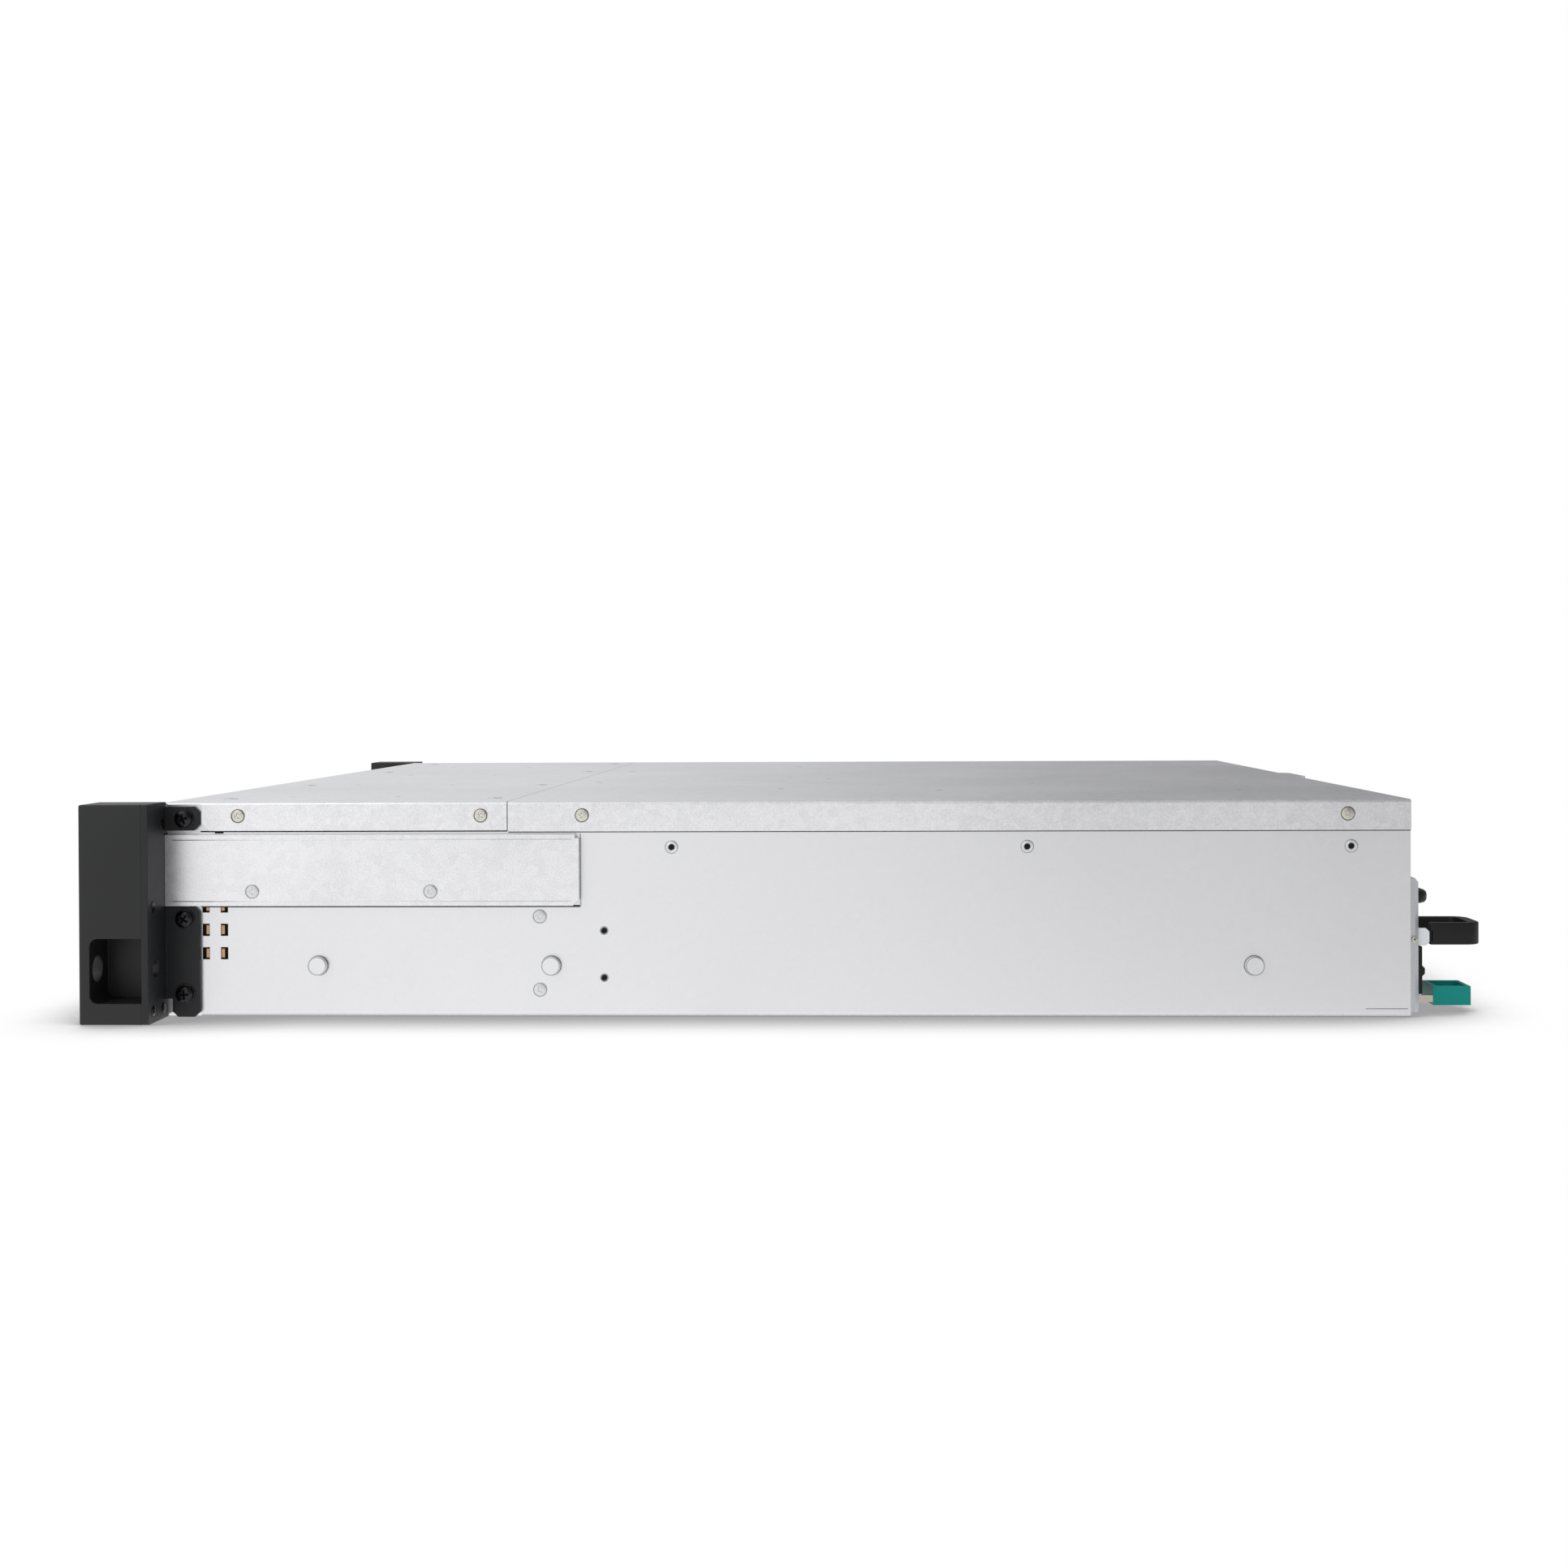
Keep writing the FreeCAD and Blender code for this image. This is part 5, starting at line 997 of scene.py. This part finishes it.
def ear_block(hand):
    """The block in front of a flange, on the right with the button's bore and lens windows."""
    node = "ear_handle_" + hand
    low, high = HANDLE
    block = slab(
        [(low.x, low.y), (high.x, low.y), (high.x, high.y), (low.x, high.y)], low.z, high.z
    )
    rounded_off(block, EAR_EDGE, lambda edge: any(end.co.y < low.y + 0.1 for end in edge.verts))
    back, front = high.y + OVERCUT, RECESS_FRONT + RECESS_CORNER
    outline = [(back, RECESS_LOW), (back, RECESS_HIGH)]
    outline += corner((front, RECESS_HIGH - RECESS_CORNER), RECESS_CORNER, 90)
    outline += corner((front, RECESS_LOW + RECESS_CORNER), RECESS_CORNER, 180)
    block = minus(block, turned(slab(outline, RECESS_INSIDE, high.x + OVERCUT), TO_RIGHT))
    hole = regular(DRIVER_RADIUS, BORE_SIDES, middle=DRIVER_HOLE)
    block = cut_from_front(block, hole, -RECESS_FRONT - OVERCUT)
    if hand == "right":
        bore = regular(BUTTON_RADIUS, BORE_SIDES, middle=BUTTON_HOLE)
        block = cut_from_front(block, bore, BUTTON_FLOOR)
        for lens_low in LENS_LOWS:
            level = lens_low + LENS_SIZE[1] / 2
            window = [(LENS_COLUMN + x, level + z) for x, z in rectangle(*LENS_SIZE)]
            block = cut_from_front(block, window, LENS_FLOOR)
    else:
        bmesh.ops.scale(block, vec=(-1, 1, 1), verts=block.verts)
        bmesh.ops.reverse_faces(block, faces=block.faces)
    item = piece(node + "_block", block, [AS_DRAWN], HANDLE_BLACK)
    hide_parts(node)


def ear_trim():
    """A dark ring round the power button's bore."""
    middle = middle_of(node_box("power_button"))
    place = [at(TO_FRONT, middle.x, EAR_FRONT, middle.z)]
    piece("power_button_ring", round_ring(*BUTTON_RING), place, TRIM_BLACK)


# Rear

PANEL_GAUGE = 1.0
SCREEN_PITCH, SCREEN_WEB, SCREEN_GAUGE, SCREEN_DEPTH = 4.2, 0.9, 0.7, 0.75

# Perforated sheets, as name, size and middle, (x, z)
SCREENS = (
    ("rear_vent_screen", (414, 20), (0, 71)),
    ("blank_vent_screen", (154, 37), (-90, 28.5)),
)

# Rows of screws in the rear panel, as level, columns and first angle
PANEL_SCREW_ROWS = (
    (84.0, (-200.0, -100.0, 0.0, 100.0, 200.0), 20),
    (52.0, (-168.0, -12.0), 50),
)


def rear_screens():
    """Perforated sheet behind the vents of the rear panel."""
    plane = REAR - PANEL_GAUGE - SCREEN_DEPTH
    for name, size, (x, z) in SCREENS:
        sheet = honeycomb(size, SCREEN_PITCH, SCREEN_WEB, SCREEN_GAUGE)
        piece(name, sheet, [at(TO_REAR, x, plane, z)], SHEET)


def rear_fasteners():
    spots = [at(TO_REAR, x, REAR, z, spin) for z, xs, spin in PANEL_SCREW_ROWS for x in xs]
    head = flat_screw(*PANEL_SCREW)
    piece("rear_panel_screws", head, spots, NICKEL, inner=PAINTED_SHADE_MID)


# Trim of a supply, with x from the middle of the case or of the inlet
INLET_PINS = ((-6.6, -1.6), (0, 2.4), (6.6, -1.6))
INLET_FLOOR, PIN_SIZE, PIN_LENGTH = 1.5, (2.0, 4.6, 0.6), 13.0
PSU_VENT_COLUMNS, PSU_VENT_LEVEL = (-13.0, -7.8, -2.6, 2.6, 7.8, 13.0), 46.5
PSU_VENT_SIZE, PSU_VENT_DEPTH, VENT_FLOOR_GAUGE = (2.9, 10.9), 2.4, 0.4
SUPPLY_LIGHT = ((0, -0.2), (1.2, -0.2), (1.2, 0.25), (0.9, 0.45), (0, 0.55))
SUPPLY_LIGHT_SPOT = (-15.5, 33.0)
FLANK_OFFSET, FLANK_SPOT = 20, (507.6, 31)
FACE_SPOTS = ((-16.8, 51.8), (-16.8, 5.2))


def supply_trim(hand):
    """Pins of the inlet, painted shade on the floor of the vents, a status light and screws."""
    body = "psu_" + hand
    inlet = node_box(body + "_inlet")
    middle, plug = middle_of(node_box(body + "_case")).x, middle_of(inlet)
    pins = [
        at(TO_REAR, plug.x + x, inlet[0].y + INLET_FLOOR, plug.z + z) for x, z in INLET_PINS
    ]
    blade = slab(rectangle(*PIN_SIZE), 0, PIN_LENGTH, edge=0.5)
    piece(body + "_pins", blade, pins, NICKEL, body)
    # A dark plate of painted shade behind the vents
    plane = PSU_FACE - PSU_VENT_DEPTH
    vents = [at(TO_REAR, middle + x, plane, PSU_VENT_LEVEL) for x in PSU_VENT_COLUMNS]
    vent = slab(rectangle(*PSU_VENT_SIZE), 0, VENT_FLOOR_GAUGE)
    piece(body + "_vent_shade", vent, vents, PAINTED_SHADE_DEEP, body)
    offset, level = SUPPLY_LIGHT_SPOT
    spot = [at(TO_REAR, middle + offset, PSU_FACE, level)]
    piece(body + "_light", lathe(SUPPLY_LIGHT, 24), spot, LENS_GREEN, body)
    head = pan_screw(*FLANK_SCREW)
    flank = [at(TO_RIGHT, middle + FLANK_OFFSET, *FLANK_SPOT, 15)]
    piece(body + "_side_screw", head, flank, NICKEL, body, PAINTED_SHADE_MID)
    head = flat_screw(*FACE_SCREW)
    corners = [at(TO_REAR, middle + x, PSU_FACE, z, 25) for x, z in FACE_SPOTS]
    piece(body + "_face_screws", head, corners, NICKEL, body, PAINTED_SHADE_MID)


KNURL_TEETH, KNURL_CREST, KNURL_ROOT = 28, 4.0, 3.7
KNOB_LOW, KNOB_HIGH = 3.4, 9.0
KNOB_CROSS, KNOB_CROSS_DEPTH = (2.2, 0.9), 2.4
THUMB_COLLAR = ((0, 0), (3.3, 0), (3.3, 2.4), (3.0, 2.8), (2.4, 2.8), (2.4, 3.6), (0, 3.6))


def thumb_screw():
    """A captive screw: a collar, a knurled head and a cross recess."""
    knurl = []
    for number in range(2 * KNURL_TEETH):
        radius = KNURL_CREST if number % 2 else KNURL_ROOT
        angle = math.pi * number / KNURL_TEETH
        knurl.append((radius * math.cos(angle), radius * math.sin(angle)))
    head = slab(knurl, KNOB_LOW, KNOB_HIGH, edge=0.35)
    head = crossed(head, *KNOB_CROSS, KNOB_HIGH, KNOB_CROSS_DEPTH)
    return joined(lathe(THUMB_COLLAR, 32), head)


# Rows of contacts, as bar size, lower and upper end, count, pitch and levels
PORT_CONTACTS = ((0.5, 0.14), 1.5, 7.6, 15, 1.2, (0.95, -0.95))
JACK_CONTACTS = ((0.45, 0.6), 0, 9.0, 8, 1.02, (4.2,))
DISK_CONTACTS = ((0.7, 0.25), 0, 2.6, 23, 1.6, (-0.6,))

# The module's screws, ports and jack
THUMB_COLUMNS, THUMB_LEVEL = (13.0, 157.0), 28.0
PORT_COLUMNS, PORT_LEVEL, PORT_DEPTH = (34, 68, 102), 14.5, 15.2
TONGUE_SIZE, TONGUE_LENGTH = (19.0, 1.8), 8.5
JACK_COLUMN, JACK_LEVEL = 141.0, 15.75
PORT_LIGHT = ((0, -0.1), (0.9, -0.1), (0.9, 0.15), (0.65, 0.3), (0, 0.35))
PORT_LIGHT_LEVEL, PORT_LIGHT_STEP = 25.5, 3


def module_trim():
    """Captive screws, port tongues with their contacts, and status lights of the module."""
    plate = node_box("io_module")[1].y
    spots = [at(TO_REAR, x, plate, THUMB_LEVEL, 18) for x in THUMB_COLUMNS]
    piece("io_thumb_screws", thumb_screw(), spots, NICKEL, "io", PAINTED_SHADE_MID)
    inside = plate - PORT_DEPTH
    ports = [at(TO_REAR, x, inside, PORT_LEVEL) for x in PORT_COLUMNS]
    tongue = slab(rectangle(*TONGUE_SIZE), 0, TONGUE_LENGTH, edge=0.4)
    piece("io_port_tongues", tongue, ports, CONNECTOR_BLACK, "io")
    piece("io_port_contacts", comb(*PORT_CONTACTS), ports, GOLD, "io")
    jack = [at(TO_REAR, JACK_COLUMN, inside, JACK_LEVEL)]
    piece("io_jack_contacts", comb(*JACK_CONTACTS), jack, GOLD, "io")
    lights = [
        at(TO_REAR, x + step, plate, PORT_LIGHT_LEVEL)
        for x in PORT_COLUMNS
        for step in (-PORT_LIGHT_STEP, PORT_LIGHT_STEP)
    ]
    piece("io_port_lights", lathe(PORT_LIGHT, 20), lights, LENS_GREEN, "io")


# Inside

FAN_AXIS_LEVEL = 42.0
HUB_CAP = ((0, 0), (14.0, 0), (14.0, 0.25), (13.4, 0.5), (0, 0.5))
DISK_CONTACT_DEPTH, DISK_CONTACT_RISE = 3.2, 7.0
BAY_ROWS, BAY_ROW_PITCH, BAY_FLOOR = 3, 27.5, 1.8


def inside_trim():
    """Caps on the fans' hubs and gold contacts of the disk connectors."""
    for number in (1, 2, 3):
        rotor = node_box(f"fan_rotor_{number}")
        place = [at(TO_FRONT, middle_of(rotor).x, rotor[0].y, FAN_AXIS_LEVEL)]
        cap = lathe(HUB_CAP)
        piece(f"fan_hub_cap_{number}", cap, place, PORT_STEEL, f"fan_{number}")
    plane = node_box("board_connectors")[0].y + DISK_CONTACT_DEPTH
    spots = [
        at(TO_FRONT, x, plane, BAY_FLOOR + BAY_ROW_PITCH * row + DISK_CONTACT_RISE)
        for x in BAY_COLUMNS
        for row in range(BAY_ROWS)
    ]
    piece("disk_contacts", comb(*DISK_CONTACTS), spots, GOLD)


# Floor, light and camera

FLOOR_HALF = 30.0
FLOOR_DROP = 0.2
FLOOR_COLOUR = (0.92, 0.92, 0.93, 1)

# The painted soft shadow: its reach in millimetres and its brightness
SHADOW_REACH = 60.0
SHADOW_SPAN = (0.52, 0.88)
SHADOW_LIGHT = (0.35, 1.0)

# The painted glow of the floor that metal mirrors, brighter to the front: its span from the front
# to the rear, in metres, and its brightness
GLOW_SPAN = (0.28, 0.62)
GLOW_LIGHT = (1.06, 0.76)

# Brightness of the room by direction
ROOM_ACROSS = ((-0.9, 0.9), (0.78, 0.96))
ROOM_ALONG = ((-0.22, 0.22), (1.05, 0.37))
ROOM_COLOUR = (0.985, 0.99, 1.0, 1)
WHITE = (1, 1, 1, 1)

# Lamps, in metres; only a reflected one shows in mirror images
Lamp = namedtuple("Lamp", "name place size radiance reflected")
LAMPS = (
    Lamp("key", (1.9, -1.1, 1.9), 1.5, 1.15, True),
    Lamp("front", (-0.9, -2.3, 0.9), 1.4, 0.75, False),
    Lamp("back", (-0.3, 2.6, 0.8), 2.2, 0.8, False),
)
LAMP_TARGET = (0, 0.25, 0.04)

# The camera of the photograph: pixels of the frame, millimetres and degrees
IMAGE = 1932
FOCAL_PIXELS = 2406.6
AXIS_PIXEL = (991.1, 868.3)
SENSOR = 36.0
CAMERA_PLACE = (1010.66, 287.5, 132.06)
CAMERA_YAW = 1.862
CAMERA_PITCH = 0.387
CAMERA_ROLL = -0.2556


def floor():
    """A floor, white to the camera, with a painted shadow that darkens it softly under and beside
    the shelf, and a painted glow in mirror images.
    """
    shape = bmesh.new()
    bmesh.ops.create_grid(shape, x_segments=1, y_segments=1, size=FLOOR_HALF)
    item = new_object("floor", mesh_of(shape, "floor"))
    item.location.z = -FLOOR_DROP * MM
    finish = Finish("floor_paint", roughness=0.9)
    finish.set("Base Color", FLOOR_COLOUR)
    finish.set("Specular IOR Level", 0.0)
    # The camera sees a painted shadow, darker where the shelf closes in the floor
    nearby = finish.node("AmbientOcclusion", {"Distance": SHADOW_REACH * MM}, samples=12)
    painted_shadow = finish.spread(nearby.outputs["AO"], *SHADOW_LIGHT, *SHADOW_SPAN)
    # Metal mirrors a painted glow of the floor, brighter to the front
    glow = finish.spread(finish.along("Y"), *GLOW_LIGHT, *GLOW_SPAN)
    path = finish.node("LightPath")
    surface = finish.shader
    for ray, strength in (("Is Glossy Ray", glow), ("Is Camera Ray", painted_shadow)):
        bright = finish.node("Emission", {"Strength": strength})
        inputs = {0: path.outputs[ray], 1: surface.outputs[0], 2: bright.outputs[0]}
        surface = finish.node("MixShader", inputs)
    finish.join(surface.outputs[0], finish.tree.nodes["Material Output"].inputs["Surface"])
    item.data.materials.append(finish.material)


def world():
    """A soft studio room, brightest to the front and the right, and white to the camera."""
    room = bpy.data.worlds.new("studio")
    bpy.context.scene.world = room
    room.use_nodes = True
    graph = Graph(room.node_tree)
    graph.tree.nodes.clear()
    axes = graph.node("SeparateXYZ", {0: graph.node("TexCoord").outputs["Generated"]})
    factors = {}
    for number, (axis, (span, levels)) in enumerate((("X", ROOM_ACROSS), ("Y", ROOM_ALONG))):
        factors[number] = graph.ramp(axes.outputs[axis], span, levels, "SMOOTHSTEP")
    strength = graph.node("Math", factors, operation="MULTIPLY").outputs[0]
    light = graph.node("Background", {"Color": ROOM_COLOUR, "Strength": strength})
    backdrop = graph.node("Background", {"Color": WHITE})
    seen = graph.node("LightPath").outputs["Is Camera Ray"]
    choice = graph.node("MixShader", {0: seen, 1: light.outputs[0], 2: backdrop.outputs[0]})
    graph.node("OutputWorld", {"Surface": choice.outputs[0]})


def softbox(lamp):
    """A square lamp that faces the shelf."""
    light = bpy.data.lights.new(lamp.name, "AREA")
    light.shape = "SQUARE"
    light.size = lamp.size
    light.energy = lamp.radiance * math.pi * lamp.size * lamp.size
    item = new_object(lamp.name, light)
    item.visible_glossy = lamp.reflected
    item.location = lamp.place
    aim = Vector(LAMP_TARGET) - Vector(lamp.place)
    item.rotation_euler = aim.to_track_quat("-Z", "Y").to_euler()


def camera():
    """The camera of the photograph, found from the shelf's known sizes."""
    yaw, pitch = math.radians(CAMERA_YAW), math.radians(CAMERA_PITCH)
    forward = Vector(
        (-math.cos(pitch) * math.cos(yaw), -math.cos(pitch) * math.sin(yaw), -math.sin(pitch))
    )
    right = forward.cross(Vector((0, 0, 1))).normalized()
    turn = Matrix((right, right.cross(forward), -forward)).transposed().to_4x4()
    lens_data = bpy.data.cameras.new("photo")
    lens_data.sensor_width = SENSOR
    lens_data.lens = FOCAL_PIXELS / IMAGE * SENSOR
    lens_data.shift_x = (IMAGE / 2 - AXIS_PIXEL[0]) / IMAGE
    lens_data.shift_y = (AXIS_PIXEL[1] - IMAGE / 2) / IMAGE
    item = new_object("photo", lens_data)
    place = Matrix.Translation(Vector(CAMERA_PLACE) * MM)
    item.matrix_world = place @ turn @ Matrix.Rotation(math.radians(CAMERA_ROLL), 4, "Z")
    bpy.context.scene.camera = item


def main():
    camera()
    dress_nodes()
    side_fasteners()
    side_inserts()
    side_trim()
    top_marks()
    underside_rivets()
    carriers()
    for hand in ("right", "left"):
        ear_block(hand)
    ear_trim()
    for hand in ("right", "left"):
        supply_handle(hand)
    module_handle()
    rear_screens()
    rear_fasteners()
    for hand in ("right", "left"):
        supply_trim(hand)
    module_trim()
    inside_trim()
    floor()
    world()
    for lamp in LAMPS:
        softbox(lamp)
    bpy.context.scene.view_settings.view_transform = "Standard"


main()
